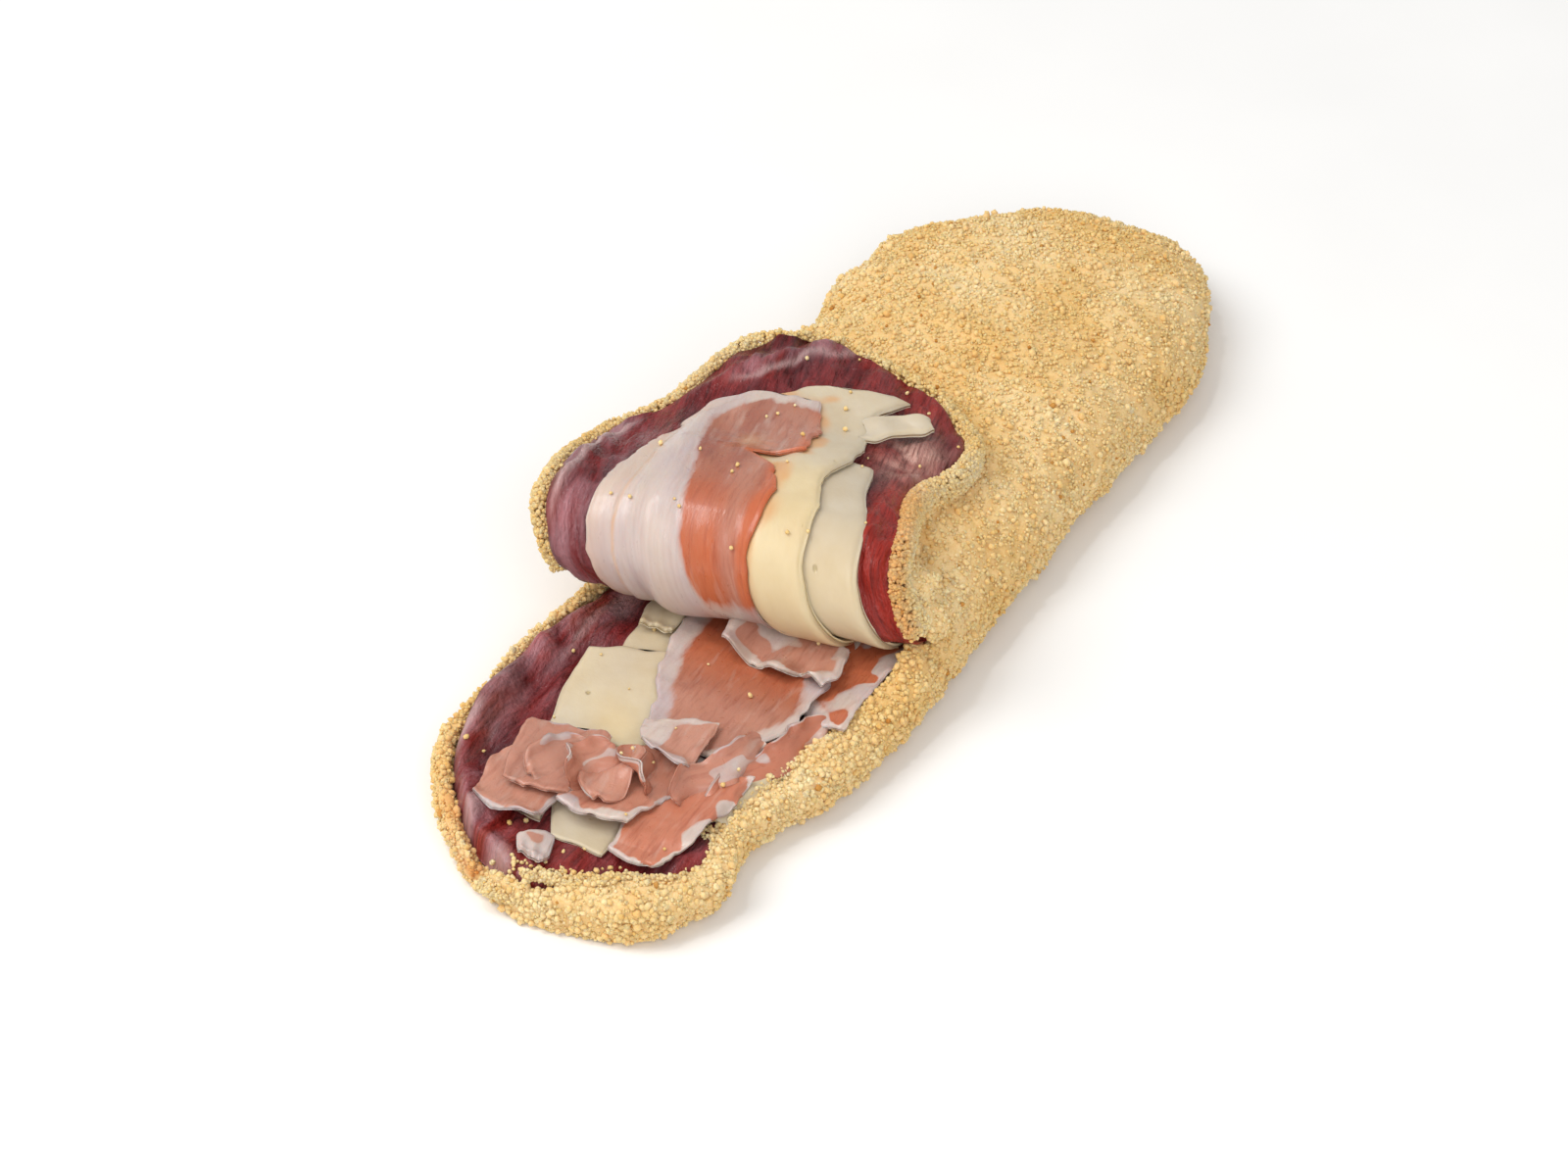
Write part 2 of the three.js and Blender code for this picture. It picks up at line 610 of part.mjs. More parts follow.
// A ruffled ribbon of ham: it runs from one point to another, waves sideways and leans over.
function ribbon({ from, to, level, width, lean, waves, sway, curl = 0, thickness = HAM }) {
  return (grow) => {
    const start = new THREE.Vector2(...from);
    const run = new THREE.Vector2(...to).sub(start);
    const side = new THREE.Vector2(-run.y, run.x).normalize();
    const tilt = THREE.MathUtils.degToRad(lean);
    const stretch = grow / run.length();
    const place = (u, v, offset) => {
      const shift = sway * Math.sin(Math.PI * 2 * waves * u);
      const roll = tilt + curl * Math.sin(Math.PI * (2 * waves * u + 0.3)) + 0.6 * (v - 0.5);
      const reach = (v - 0.5) * (width + 2 * grow) * (0.8 + 0.2 * Math.sin(Math.PI * u));
      const out = shift + reach * Math.cos(roll) - offset * Math.sin(roll);
      const part = mix(-stretch, 1 + stretch, u);
      const up = Math.abs(width * Math.sin(tilt)) / 2 + reach * Math.sin(roll) + offset * Math.cos(roll);
      const x = start.x + run.x * part + side.x * out;
      return new THREE.Vector3(x, start.y + run.y * part + side.y * out, LOWER_TOP + GAP + level + up);
    };
    const face = thickness / 2 + grow;
    return slab({ place, low: () => -face, high: () => face, us: steps(9), vs: steps(3) });
  };
}

// Rows of the layers on the bed: close where they show, wide apart in the closed part.
const SHOWN_ROWS = Array.from({ length: 9 }, (_, i) => -112 + 7 * i);
const BED_ROWS = [...SHOWN_ROWS, ...Array.from({ length: 7 }, (_, i) => -44 + 23 * i)];

// Layers that run from the bed through the closed part.
function bedLayer({ left, right, from, to, level, thickness }) {
  const inner = BED_ROWS.filter((x) => x > from + 2 && x < to - 2);
  return (grow) => {
    const place = (x, v, offset) => {
      const y = mix(right(x), left(x), v) + 0.5 * bedWaves(2 * x, 40 * v);
      const beyond = x === from ? -grow : x === to ? grow : 0;
      const z = lowerTop(x, y) + STACK + level(x) + offset;
      return new THREE.Vector3(x + beyond, y + grow * (2 * v - 1), z);
    };
    const us = [from, ...inner, to];
    return slab({ place, low: () => -grow, high: () => thickness + grow, us, vs: steps(5) });
  };
}

const bed = {
  lower_cheese_layer: bedLayer({
    left: profile([[-88, 26], [-84, 30.5], [-72, 31], [-30, 31], [140, 26]]),
    right: profile([[-88, 12], [-80, -18], [-60, -26], [-30, -28], [140, -30]]),
    from: -88, to: LAYER_X, level: () => 0, thickness: CHEESE,
  }),
  lower_ham_layer: bedLayer({
    left: profile([[-116, 7], [-104, 9], [-88, 16], [-68, 19], [140, 16]]),
    right: profile([[-116, -14], [-108, -21], [-96, -27], [-76, -27], [140, -24]]),
    from: -116, to: LAYER_X, level: (x) => CHEESE + STACK + 2.2 * ease(x, -62, -80), thickness: HAM,
  }),
  big_cheese_slice: bedSlice({
    corners: [[-121, 3], [-122, 32], [-91, 36.5], [-80, 13]],
    level: 0, thickness: CHEESE, tilt: 2.6, wave: 0.1,
  }),
  front_cheese_slice: bedSlice({
    corners: [[-157, -5], [-157, 10], [-142, 18], [-140, -4]],
    level: 0, thickness: CHEESE, wave: 0.1,
  }),
  left_cheese_slice: bedSlice({
    corners: [[-156, 13], [-152, 27], [-138, 30], [-139, 20]],
    level: 0, thickness: CHEESE, wave: 0.1, vs: 4,
  }),
  right_cheese_slice: bedSlice({
    corners: [[-134, -27], [-130, -18], [-108, -22], [-112, -29]],
    level: 0, thickness: CHEESE, wave: 0.1, vs: 4,
  }),
  front_ham_slice: bedSlice({
    corners: [[-158, -17], [-158, -7], [-129, -4], [-117, -25]],
    level: 2.8, thickness: HAM, wave: 0.7, curl: -1.8,
  }),
  left_ham_slice: bedSlice({
    corners: [[-156, 16], [-157, 33], [-136, 36], [-135, 15]],
    level: 2.8, thickness: HAM, wave: 0.8,
  }),
  back_ham_slice: bedSlice({
    corners: [[-144, 14], [-147, 28], [-127, 33], [-125, 15]],
    level: 5.0, thickness: HAM, wave: 0.8, curl: -0.8,
  }),
  pale_ham_slice: bedSlice({
    corners: [[-148, -4], [-149, 8], [-139, 12], [-138, -4]],
    level: 4.8, thickness: HAM, wave: 0.7,
  }),
  folded_ham_slice: bedSlice({
    corners: [[-127, -12], [-124, 2], [-112, 9], [-103, -12]],
    level: 6.6, thickness: HAM, wave: 0.8, curl: 2.2,
  }),
  right_ham_slice: bedSlice({
    corners: [[-79, -35], [-77, -28], [-48, -23], [-46, -34]],
    level: 2.8, thickness: HAM, wave: 0.6, vs: 4,
  }),
  loose_ham_edge: bedSlice({
    corners: [[-77, -27], [-76, 3], [-63, 4], [-61, -26]],
    level: 6.4, thickness: HAM, wave: 0.5, curl: 1.6, vs: 7,
  }),
  fat_scrap: bedSlice({
    corners: [[-168, 6], [-169, 13], [-162, 15], [-158.5, 8]],
    level: 0.2, thickness: 1.8, wave: 0.8, us: 5, vs: 4,
  }),
};

// Ruffled ribbons, from the left across the bed to the right rim.
const RUFFLES = [
  { from: [-144, 20], to: [-129, 13], level: 6.6, width: 9, lean: 25, waves: 0.8, sway: 1.2, curl: 0.4 },
  { from: [-144, 10], to: [-127, 9], level: 7.2, width: 8, lean: 35, waves: 0.9, sway: 1.4, curl: 0.5 },
  { from: [-145, 2], to: [-125, 4], level: 6.6, width: 8, lean: -35, waves: 1.1, sway: 1.6, curl: 0.5 },
  { from: [-136, -6], to: [-126, 3], level: 7.6, width: 7, lean: 50, waves: 0.9, sway: 1.2, curl: 0.4 },
  { from: [-134, -12], to: [-104, -24], level: 5.0, width: 7, lean: 32, waves: 1.6, sway: 1.1, curl: 0.3 },
  { from: [-129, -20], to: [-94, -31], level: 3.2, width: 6, lean: 22, waves: 1.4, sway: 0.8, curl: 0.3 },
];

const ruffles = Object.fromEntries(RUFFLES.map((shape, i) => [`ham_ruffle_${i + 1}`, ribbon(shape)]));

// The torn strip of cheese that curls up beside the large slice on the flap.
function tornCheese(grow) {
  const place = (u, v, offset) => {
    const l = mix(42 - grow, 55 + grow, u);
    const width = (7.5 + 2 * grow) * (1 - 0.65 * u);
    const t = mix(-29, -42, u) + (v - 0.5) * width;
    const rise = 1.6 * Math.sin(Math.PI * u) + 2.2 * (v - 0.5) ** 2 + 0.4;
    const seat = halfVeal(l, t) + meatRelief(l, t) + GAP;
    return upperPoint(l, t, seat + rise + offset);
  };
  return slab({ place, low: () => -grow, high: () => 1.6 + grow, us: steps(7), vs: steps(4) });
}

// Assembly

const nodes = new Map();

// Adds pieces in order; each is cut clear of those already there that it could touch.
function addPiece(name, make, neighbours) {
  nodes.set(name, { solid: largest(without(make(0), grown(neighbours))), make });
}

const grown = (names, clearance = CLEARANCE) => names.map((name) => nodes.get(name).make(clearance));

addPiece("lower_fillet", lowerFillet, []);
addPiece("upper_fillet", upperFillet, ["lower_fillet"]);
const fillets = ["lower_fillet", "upper_fillet"];

const upperNames = ["upper_cheese_slice", "upper_cheese_layer", "upper_ham_layer"];
upperNames.forEach((name, i) => {
  addPiece(name, (grow) => upperSlice(name, grow), [...fillets, ...upperNames.slice(0, i)]);
});
addPiece("torn_cheese_strip", tornCheese, [...fillets, ...upperNames]);

const placed = [...fillets, ...upperNames];
for (const [name, make] of Object.entries({ ...bed, ...ruffles })) {
  addPiece(name, make, placed);
  placed.push(name);
}
placed.push("torn_cheese_strip");

const body = bodySolid({ inset: 0, from: NEAR_X, to: FAR_X, rows: 32, points: 24, floor: 0, rough: 1 });
// A little larger than the fillets in it, so that their faces stay clear of its own.
const closedRoom = bodySolid({
  inset: COAT - 1.1,
  from: MOUTH_X - 4,
  to: FAR_X - COAT + 1.1,
  rows: 18,
  points: 24,
  floor: FLOOR_COAT - 0.4,
  rough: 0,
});
const coatParts = [without(body, [closedRoom, openRoom()]), flapCoat(), foldCore()];
const crumbCoat = largest(without(joined(coatParts), grown(placed, COAT_CLEARANCE)));

// Colour, roughness and metalness of each kind of surface
const FINISHES = {
  crumb: { color: 0xe3c081, roughness: 0.95, metalness: 0 },
  veal: { color: 0x7a2630, roughness: 0.35, metalness: 0 },
  cheese: { color: 0xede3be, roughness: 0.45, metalness: 0 },
  ham: { color: 0xc4745a, roughness: 0.4, metalness: 0 },
  fat: { color: 0xe6dcd2, roughness: 0.4, metalness: 0 },
};

function finishOf(name) {
  if (name.includes("coat")) return FINISHES.crumb;
  if (name.includes("fillet")) return FINISHES.veal;
  if (name.includes("cheese")) return FINISHES.cheese;
  if (name.includes("fat")) return FINISHES.fat;
  return FINISHES.ham;
}

function geometryOf(solid) {
  const { vertProperties, triVerts } = solid.getMesh();
  const geometry = new THREE.BufferGeometry();
  geometry.setAttribute("position", new THREE.BufferAttribute(new Float32Array(vertProperties), 3));
  return geometry.setIndex(new THREE.BufferAttribute(new Uint32Array(triVerts), 1));
}

// A named mesh from a solid, welded once more so that no hair-thin sliver stays in it.
function meshOf(name, solid) {
  const step = name.includes("coat") ? 2 * TIDY : TIDY;
  const welded = largest(toSolid(geometryOf(solid.simplify(step)), WELD));
  const geometry = geometryOf(welded);
  geometry.computeVertexNormals();
  const mesh = new THREE.Mesh(geometry, new THREE.MeshStandardMaterial(finishOf(name)));
  mesh.name = name;
  return mesh;
}

const steak = new THREE.Group();
steak.add(meshOf("crumb_coat", crumbCoat));
for (const [name, { solid }] of nodes) steak.add(meshOf(name, solid));

// The origin is under the middle of the whole.
const extent = new THREE.Box3().setFromObject(steak);
const centre = extent.getCenter(new THREE.Vector3());
steak.position.set(-centre.x, -centre.y, -extent.min.z);

export default steak;
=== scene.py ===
"""Breaded stuffed veal steak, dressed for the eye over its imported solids.

A raw veal pocket with cured ham and cheese, rolled in breadcrumbs. Its near end is peeled open: the upper
fillet curls up and lies back over the closed part with its inner face up. All sizes are in millimetres in
the steak's own frame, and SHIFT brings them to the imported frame.
"""

import logging
import math
from dataclasses import dataclass, field
from enum import Enum
from itertools import combinations, product
from typing import Any, Callable, Iterator, Sequence

import bpy
import numpy as np
from mathutils import Matrix, Vector


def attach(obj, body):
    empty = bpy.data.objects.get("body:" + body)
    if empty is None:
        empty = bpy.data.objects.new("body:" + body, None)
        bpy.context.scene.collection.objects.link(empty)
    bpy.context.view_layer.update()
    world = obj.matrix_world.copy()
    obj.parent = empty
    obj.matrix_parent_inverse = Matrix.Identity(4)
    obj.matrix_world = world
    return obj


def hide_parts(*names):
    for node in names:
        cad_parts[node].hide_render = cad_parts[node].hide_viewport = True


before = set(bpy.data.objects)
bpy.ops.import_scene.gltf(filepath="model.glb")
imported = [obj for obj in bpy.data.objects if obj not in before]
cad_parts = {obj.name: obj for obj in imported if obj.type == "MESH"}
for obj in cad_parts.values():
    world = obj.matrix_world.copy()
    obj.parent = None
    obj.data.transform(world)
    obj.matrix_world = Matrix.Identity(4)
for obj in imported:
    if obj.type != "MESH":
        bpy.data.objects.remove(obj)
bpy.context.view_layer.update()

Array = np.ndarray
Piece = bpy.types.Object
Socket = bpy.types.NodeSocket
Source = Socket | str | float  # what may feed an input: a socket, a hex colour or a number
LOG = logging.getLogger("steak")

SHIFT = np.array([9.75, -8.674, 0.0])  # from the steak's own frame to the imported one
NEAR_X, FAR_X = -177.5, 158.0  # tips of the opened and the closed end
COAT, GAP, STACK = 3.0, 0.3, 0.6  # breadcrumb coat and the clearances between pieces
WAIST_Z, FLOOR_COAT = 10.0, 2.5  # widest height of the body, coat under the lower fillet
LOWER_TOP = 11.2  # inner face of the lower fillet
VEAL, CHEESE, HAM = 8.0, 2.2, 1.1  # thickness of a fillet and of the slices
MOUTH_X, MOUTH_Z = -57.0, 27.0  # where the upper fillet starts to fold
FOLD_R, FOLD_SKEW = 10.5, 0.22  # radius and skew of the fold
FOLD_LENGTH = math.pi * FOLD_R
FLAP_SHIFT, FLAP_TURN = 12.0, math.radians(12)  # the flap's sideways shift and turn
FLAP_REST_Z, FLAP_TIP = 40.5, 87.0  # height and length of the flap
LAYER_X = 112.0  # where the fillings stop short of the closed end


# Curves, noise and small helpers


def mix(a: Array | float, b: Array | float, part: Array | float) -> Array:
    """Blend from a at part 0 to b at part 1."""
    return a + (b - a) * part


def ease(value: Array | float, start: float, stop: float) -> Array:
    """Smooth step from 0 at start to 1 at stop."""
    part = np.clip((np.asarray(value, float) - start) / (stop - start), 0, 1)
    return part * part * (3 - 2 * part)


def rounded(distance: Array, radius: float) -> Array:
    """Quarter-circle rise from 0 at an edge to 1 at radius from it."""
    return np.sqrt(1 - (1 - np.clip(distance / radius, 0, 1)) ** 2)


def bell(away: Array, width: float) -> Array:
    """Bell curve: 1 where away is 0, next to nothing beyond twice the width."""
    return np.exp(-((away / width) ** 2))


def mounds(x: Array, y: Array, table: Sequence[Sequence[float]]) -> Array:
    """Sum of round mounds, each given by its place x and y, its radius and its height."""
    return sum(height * bell(np.hypot(x - a, y - b), radius) for a, b, radius, height in table)


def inset(width: Array, v: Array) -> Array:
    """Distance from the nearer side of a strip of that width, at v from 0 to 1 across it."""
    return width * (0.5 - np.abs(v - 0.5))


def stacked(*values: Array | float) -> Array:
    """Arrays and numbers brought to one shape and joined along a new last axis."""
    return np.stack(np.broadcast_arrays(*values), -1)


class Profile:
    """Smooth curve through stations (position, value), level beyond the ends."""

    def __init__(self, *stations: tuple[float, float]) -> None:
        """Works out the slopes.

        Args:
            stations: (position, value) pairs in rising order.
        """
        self.at, self.values = np.array(stations, float).T
        last = len(stations) - 1
        low = np.maximum(np.arange(last + 1) - 1, 0)
        high = np.minimum(np.arange(last + 1) + 1, last)
        self.slopes = (self.values[high] - self.values[low]) / (self.at[high] - self.at[low])

    def __call__(self, position: Array | float) -> Array:
        """Value of the curve.

        Args:
            position: where.

        Returns:
            The value there.
        """
        x = np.clip(position, self.at[0], self.at[-1])
        i = np.clip(np.searchsorted(self.at, x, "right") - 1, 0, len(self.at) - 2)
        run = self.at[i + 1] - self.at[i]
        t = (x - self.at[i]) / run
        begin = (2 * t**3 - 3 * t**2 + 1) * self.values[i] + (t**3 - 2 * t**2 + t) * run * self.slopes[i]
        end = (3 * t**2 - 2 * t**3) * self.values[i + 1] + (t**3 - t**2) * run * self.slopes[i + 1]
        return begin + end


class Lumps:
    """Soft lumps: six plane waves with seeded directions, the same ones as in the solids."""

    def __init__(self, seed: int, wavelength: float) -> None:
        """Draws the waves.

        Args:
            seed: of the random draw.
            wavelength: typical size of a lump in mm.
        """
        draw = self._draws(seed)
        self.waves = []
        for _ in range(6):
            angle = next(draw) * 2 * math.pi
            pitch = 2 * math.pi / (wavelength * (0.7 + 0.8 * next(draw)))
            self.waves.append((math.cos(angle) * pitch, math.sin(angle) * pitch, next(draw) * 7))

    @staticmethod
    def _draws(state: int) -> Iterator[float]:
        """Endless seeded random numbers from 0 to 1."""
        full = 0xFFFFFFFF
        while True:
            state = (state + 0x6D2B79F5) & full
            word = ((state ^ (state >> 15)) * (1 | state)) & full
            word = ((word + (((word ^ (word >> 7)) * (61 | word)) & full)) & full) ^ word
            yield ((word ^ (word >> 14)) & full) / 4294967296

    def __call__(self, x: Array | float, y: Array | float) -> Array:
        """Height of the lumps, about -1 to 1, at a point."""
        return sum(np.sin(a * x + b * y + c) for a, b, c in self.waves) / 3


class Grain:
    """Seeded value noise in space, about -1 to 1."""

    def __init__(self, seed: int) -> None:
        """Draws the lattice from a seed."""
        self.lattice = np.random.default_rng(seed).uniform(-1, 1, (32, 32, 32))

    def __call__(self, points: Array, size: float | tuple[float, float, float]) -> Array:
        """Noise at points.

        Args:
            points: positions in mm, the last axis x, y, z.
            size: lump size in mm, one for all axes or one each.

        Returns:
            One value for each point.
        """
        scaled = points / np.asarray(size, float)
        cell = np.floor(scaled).astype(int)
        part = scaled - cell
        part = part * part * (3 - 2 * part)
        total = np.zeros(points.shape[:-1])
        for corner in np.ndindex(2, 2, 2):
            weight = np.prod(np.where(corner, part, 1 - part), axis=-1)
            i, j, k = np.moveaxis((cell + corner) % 32, -1, 0)
            total += weight * self.lattice[i, j, k]
        return total


# Forms, the same as in the solids


class BodyForm:
    """Plan and height of the breaded body."""

    left = Profile(
        (NEAR_X, 6), (-175, 18), (-171, 28), (-163, 38), (-152, 47), (-138, 53.5), (-118, 55.5), (-95, 55),
        (-70, 51), (-40, 49.5), (0, 51), (43, 51.5), (62, 50), (80, 53.5), (90, 49.5), (102, 51.5), (113, 49),
        (123, 39.5), (133, 30), (146, 19.5), (153, 8), (156.5, -1), (FAR_X, -8),
    )
    right = Profile(
        (NEAR_X, 4), (-175, -13), (-171, -24), (-163, -30.5), (-153, -35.5), (-146, -36.5), (-139, -33),
        (-128, -33.5), (-116, -37.5), (-104, -42.5), (-88, -46), (-60, -48.5), (0, -49), (45, -50), (78, -52),
        (110, -52), (121, -47.5), (136, -41), (149, -33), (155, -24), (FAR_X, -11),
    )
    crown = Profile(
        (NEAR_X, 10), (-171, 13), (-160, 14.5), (-100, 16), (-78, 18), (-60, 24), (-42, 30.5), (-25, 33),
        (40, 34), (90, 33.5), (118, 30.5), (138, 25.5), (150, 19.5), (156, 13.5), (FAR_X, 9.5),
    )
    close_mm = 2.2  # how near the form a point has to lie to be moved onto it
    snapped_mm = 164  # how far from the middle of the steak points are moved
    body_lumps = Lumps(11, 34)
    crust_lumps = Lumps(23, 13)
    dents = (
        (100, -48, 9, -2.4), (131, 12, 8, -1.8), (96, -22, 14, -1.4), (80, 46, 12, 1.4), (104, 44, 9, 1.5),
    )

    def squareness(self, x: Array) -> Array:
        """Power of the cross-section: boxy beside the opened end, rounder over the closed part."""
        return mix(3.6, 2.5, ease(x, -80, -30))

    def plan(self, x: Array, inset: float, right_inset: Array | float | None = None) -> tuple[Array, Array]:
        """Middle and half width of the plan.

        Args:
            x: position along the steak.
            inset: how far the plan is drawn in, at its ends too.
            right_inset: the same for the right side, if it differs.

        Returns:
            The plan's middle and its half width.
        """
        middle, half = (NEAR_X + FAR_X) / 2, (FAR_X - NEAR_X) / 2
        outer = middle + (x - middle) * half / (half - inset)
        left = self.left(outer) - inset
        right = self.right(outer) + (inset if right_inset is None else right_inset)
        return (left + right) / 2, np.maximum(0.4, (left - right) / 2)

    def dome(self, x: Array, y: Array, inset: float) -> Array:
        """Height of the domed top.

        Args:
            x: position along the steak.
            y: position across it.
            inset: how far the top is drawn in.

        Returns:
            The height.
        """
        middle, half = self.plan(x, inset)
        side = np.minimum(1, np.abs(y - middle) / half)
        power = self.squareness(x)
        return WAIST_Z + np.maximum(0, self.crown(x) - inset - WAIST_Z) * (1 - side**power) ** (1 / power)

    def snap(self, points: Array, normals: Array) -> Array:
        """Moves points that lie about on the outer form exactly onto it, which takes the facets away.

        Args:
            points: positions in mm.
            normals: their normals.

        Returns:
            The moved positions.
        """
        x, y, z = points.T
        middle, half = self.plan(x, 0.0)
        power = self.squareness(x)
        top = np.maximum(WAIST_Z + 0.6, self.crown(x)) - WAIST_Z
        reach = np.where(z > WAIST_Z, top, WAIST_Z + COAT)
        out, up = (y - middle) / half, (z - WAIST_Z) / reach
        radius = (np.abs(out) ** power + np.abs(up) ** power) ** (1 / power)
        out, up = out / radius, up / radius
        angle = np.arctan2(np.sign(up) * np.abs(up) ** (power / 2), np.sign(out) * np.abs(out) ** (power / 2))
        crags = self.body_lumps(x, 50 * out) * 0.9 + self.crust_lumps(x, 60 * angle) * 0.45
        new_y = middle + (half + crags * 0.6) * out
        dents = mounds(x, new_y, self.dents)
        new_z = WAIST_Z + reach * up + np.where(up > 0, (crags + dents) * up, 0)
        facing = normals[:, 1] * np.sign(out) * out**2 + normals[:, 2] * np.sign(up) * up**2
        near = (np.abs(new_y - y) < self.close_mm) & (np.abs(new_z - z) < self.close_mm) & (facing > 0.4)
        keep = near & (np.abs(x - (NEAR_X + FAR_X) / 2) < self.snapped_mm) & (z > 0.6)
        moved = points.copy()
        moved[keep, 1] = new_y[keep]
        moved[keep, 2] = np.maximum(new_z[keep], 0.3)
        return moved


BODY = BodyForm()


class LowerForm:
    """Inner face of the lower fillet, which lies flat and turns up into a lip beside the opened end."""

    left_lip = Profile(
        (NEAR_X, 7), (-170, 9), (-160, 13), (-142, 16.5), (-95, 17.5), (-75, 15), (-50, 13.2), (90, 13),
        (135, 11.2),
    )
    right_lip = Profile((NEAR_X, 8), (-165, 10.5), (-140, 12.5), (90, 12.5), (135, 11.2))
    lumps = Lumps(5, 60)

    def plan(self, x: Array) -> tuple[Array, Array]:
        """Middle and half width of the fillet's plan."""
        wall = COAT + GAP
        return BODY.plan(x, wall, mix(wall + 2, wall, ease(x, -80, -45)))

    def top(self, x: Array, y: Array) -> Array:
        """Height of the inner face.

        Args:
            x: position along the steak.
            y: position across it.

        Returns:
            The height.
        """
        middle, half = self.plan(x)
        side = (y - middle) / half
        lip = np.where(side > 0, self.left_lip(x), self.right_lip(x))
        rise = ease(np.abs(side), 0.74, 0.93)
        front = ease(x, NEAR_X + 24, NEAR_X + 7)
        flat = mix(LOWER_TOP, 12, front) + 0.35 * self.lumps(x, y)
        return mix(flat, lip, rise) - 2 * ease(np.abs(side), 0.93, 1)


LOWER = LowerForm()


class UpperForm:
    """The upper fillet as one sheet: l runs along it from the fold's top, t across it to the left."""

    flap_left = Profile(
        (-FOLD_LENGTH, 44.5), (-15, 45.5), (-3, 47.5), (20, 48.5), (34, 46.5), (42, 43), (46.5, 36.5),
        (52, 29.5), (62, 25), (76, 18.5), (83, 11), (FLAP_TIP, 2.5),
    )
    flap_right = Profile(
        (-FOLD_LENGTH, -44.5), (-17, -45.5), (4, -43), (20, -40.5), (33, -41), (42, -45.5), (50, -48.5),
        (57, -48.5), (63, -45), (75, -33), (81, -19), (85.5, -9), (FLAP_TIP, -3),
    )
    lumps = Lumps(41, 60)

    def closed_x(self, l: Array, t: Array) -> Array:
        """Position along the closed part."""
        skew = FOLD_SKEW * ease(l, -FOLD_LENGTH - 130, -FOLD_LENGTH - 30)
        return MOUTH_X - skew * t - FOLD_LENGTH - l

    def opened(self, l: Array) -> Array:
        """0 in the closed part, 1 from the fold onwards."""
        return ease(l, -FOLD_LENGTH - 26, -FOLD_LENGTH - 2)

    def closed_faces(self, l: Array, t: Array) -> tuple[Array, Array]:
        """Faces of the sheet over the closed part.

        Args:
            l: along the sheet.
            t: across it.

        Returns:
            Heights of the lower and the upper face.
        """
        x = self.closed_x(l, t)
        top = BODY.dome(x, t, COAT + GAP)
        return np.maximum(top - VEAL, np.minimum(top - 1.6, LOWER.top(x, t) + GAP + 0.3)), top

    def closed_middle(self, l: Array, t: Array) -> Array:
        """Middle height over the closed part."""
        low, top = self.closed_faces(l, t)
        return mix((low + top) / 2, MOUTH_Z - 3.5 * (t / 46) ** 2, self.opened(l))

    def half_veal(self, l: Array, t: Array) -> Array:
        """Half thickness of the fillet."""
        low, top = self.closed_faces(l, t)
        return mix((top - low) / 2, VEAL / 2, self.opened(l))

    def flap_middle(self, l: Array, t: Array) -> Array:
        """Middle height of the flap: lifted near the fold, then down on the closed part.

        Args:
            l: along the sheet.
            t: across it.

        Returns:
            The height.
        """
        start = self.closed_middle(-FOLD_LENGTH, t) + 2 * FOLD_R
        droop = 10 * ease(t, 18, 54) + 4.5 * ease(t, -20, -46)
        rest = FLAP_REST_Z + 1.2 * self.lumps(l, t) - droop - 2.5 * ease(l, 60, 92)
        return mix(start, rest, ease(l, -4, 46))

    def point(self, l: Array, t: Array, offset: Array | float) -> Array:
        """Places points of the sheet.

        Args:
            l: along the sheet.
            t: across it.
            offset: off its middle, positive towards its inner face.

        Returns:
            Points with a last axis x, y, z.
        """
        l, t, offset = np.broadcast_arrays(l, t, offset)
        hinge = MOUTH_X - FOLD_SKEW * t
        closed = stacked(self.closed_x(l, t), t, self.closed_middle(l, t) - offset)
        angle = (l + FOLD_LENGTH) / FOLD_R
        radius = FOLD_R + offset
        centre = self.closed_middle(-FOLD_LENGTH, t) + FOLD_R
        y = t + FLAP_SHIFT * (1 - np.cos(angle)) / 2
        fold = stacked(hinge - radius * np.sin(angle), y, centre - radius * np.cos(angle))
        along = l * math.cos(FLAP_TURN), t + FLAP_SHIFT + l * math.sin(FLAP_TURN)
        flap = stacked(hinge + along[0], along[1], self.flap_middle(l, t) + offset)
        return np.where((l < -FOLD_LENGTH)[..., None], closed, np.where((l < 0)[..., None], fold, flap))

    def edges(self, l: Array) -> tuple[Array, Array]:
        """Edges of the sheet's meat.

        Args:
            l: along the sheet.

        Returns:
            The left and the right edge.
        """
        x = np.minimum(MOUTH_X - FOLD_LENGTH - l, FAR_X - COAT - 1)
        middle, half = BODY.plan(x, COAT + GAP)
        part = ease(l, -FOLD_LENGTH - 30, -FOLD_LENGTH + 4)
        left = mix(middle + half * 0.965, self.flap_left(l), part)
        return left, mix(middle - half * 0.965, self.flap_right(l), part)

    @staticmethod
    def far_fold(l: Array, t: Array) -> Array:
        """Distance from the line of the fold that crosses the flap's far end."""
        return t - 24 + 0.9 * (l - 52)

    def relief(self, l: Array, t: Array) -> Array:
        """Folds and thick margins of the flap's meat.

        Args:
            l: along the sheet.
            t: across it.

        Returns:
            Their height over the even sheet.
        """
        left = 2.4 * ease(t, 37.5, 41.5) * ease(t, 50, 44) * ease(l, -24, -10) * ease(l, 36, 26)
        far = 2.2 * bell(self.far_fold(l, t), 5) * ease(l, 46, 56) * ease(t, -8, 0)
        right = 1.2 * ease(t, -38, -42) * ease(l, 30, 10)
        return self.opened(l) * (left + far + right) * ease(l, -30, -14)


UPPER = UpperForm()


# Meshes


def put_points(mesh: bpy.types.Mesh, points: Array) -> None:
    """Sets a mesh's points from mm in the steak's frame."""
    mesh.vertices.foreach_set("co", ((points + SHIFT) / 1000).astype(np.float32).ravel())


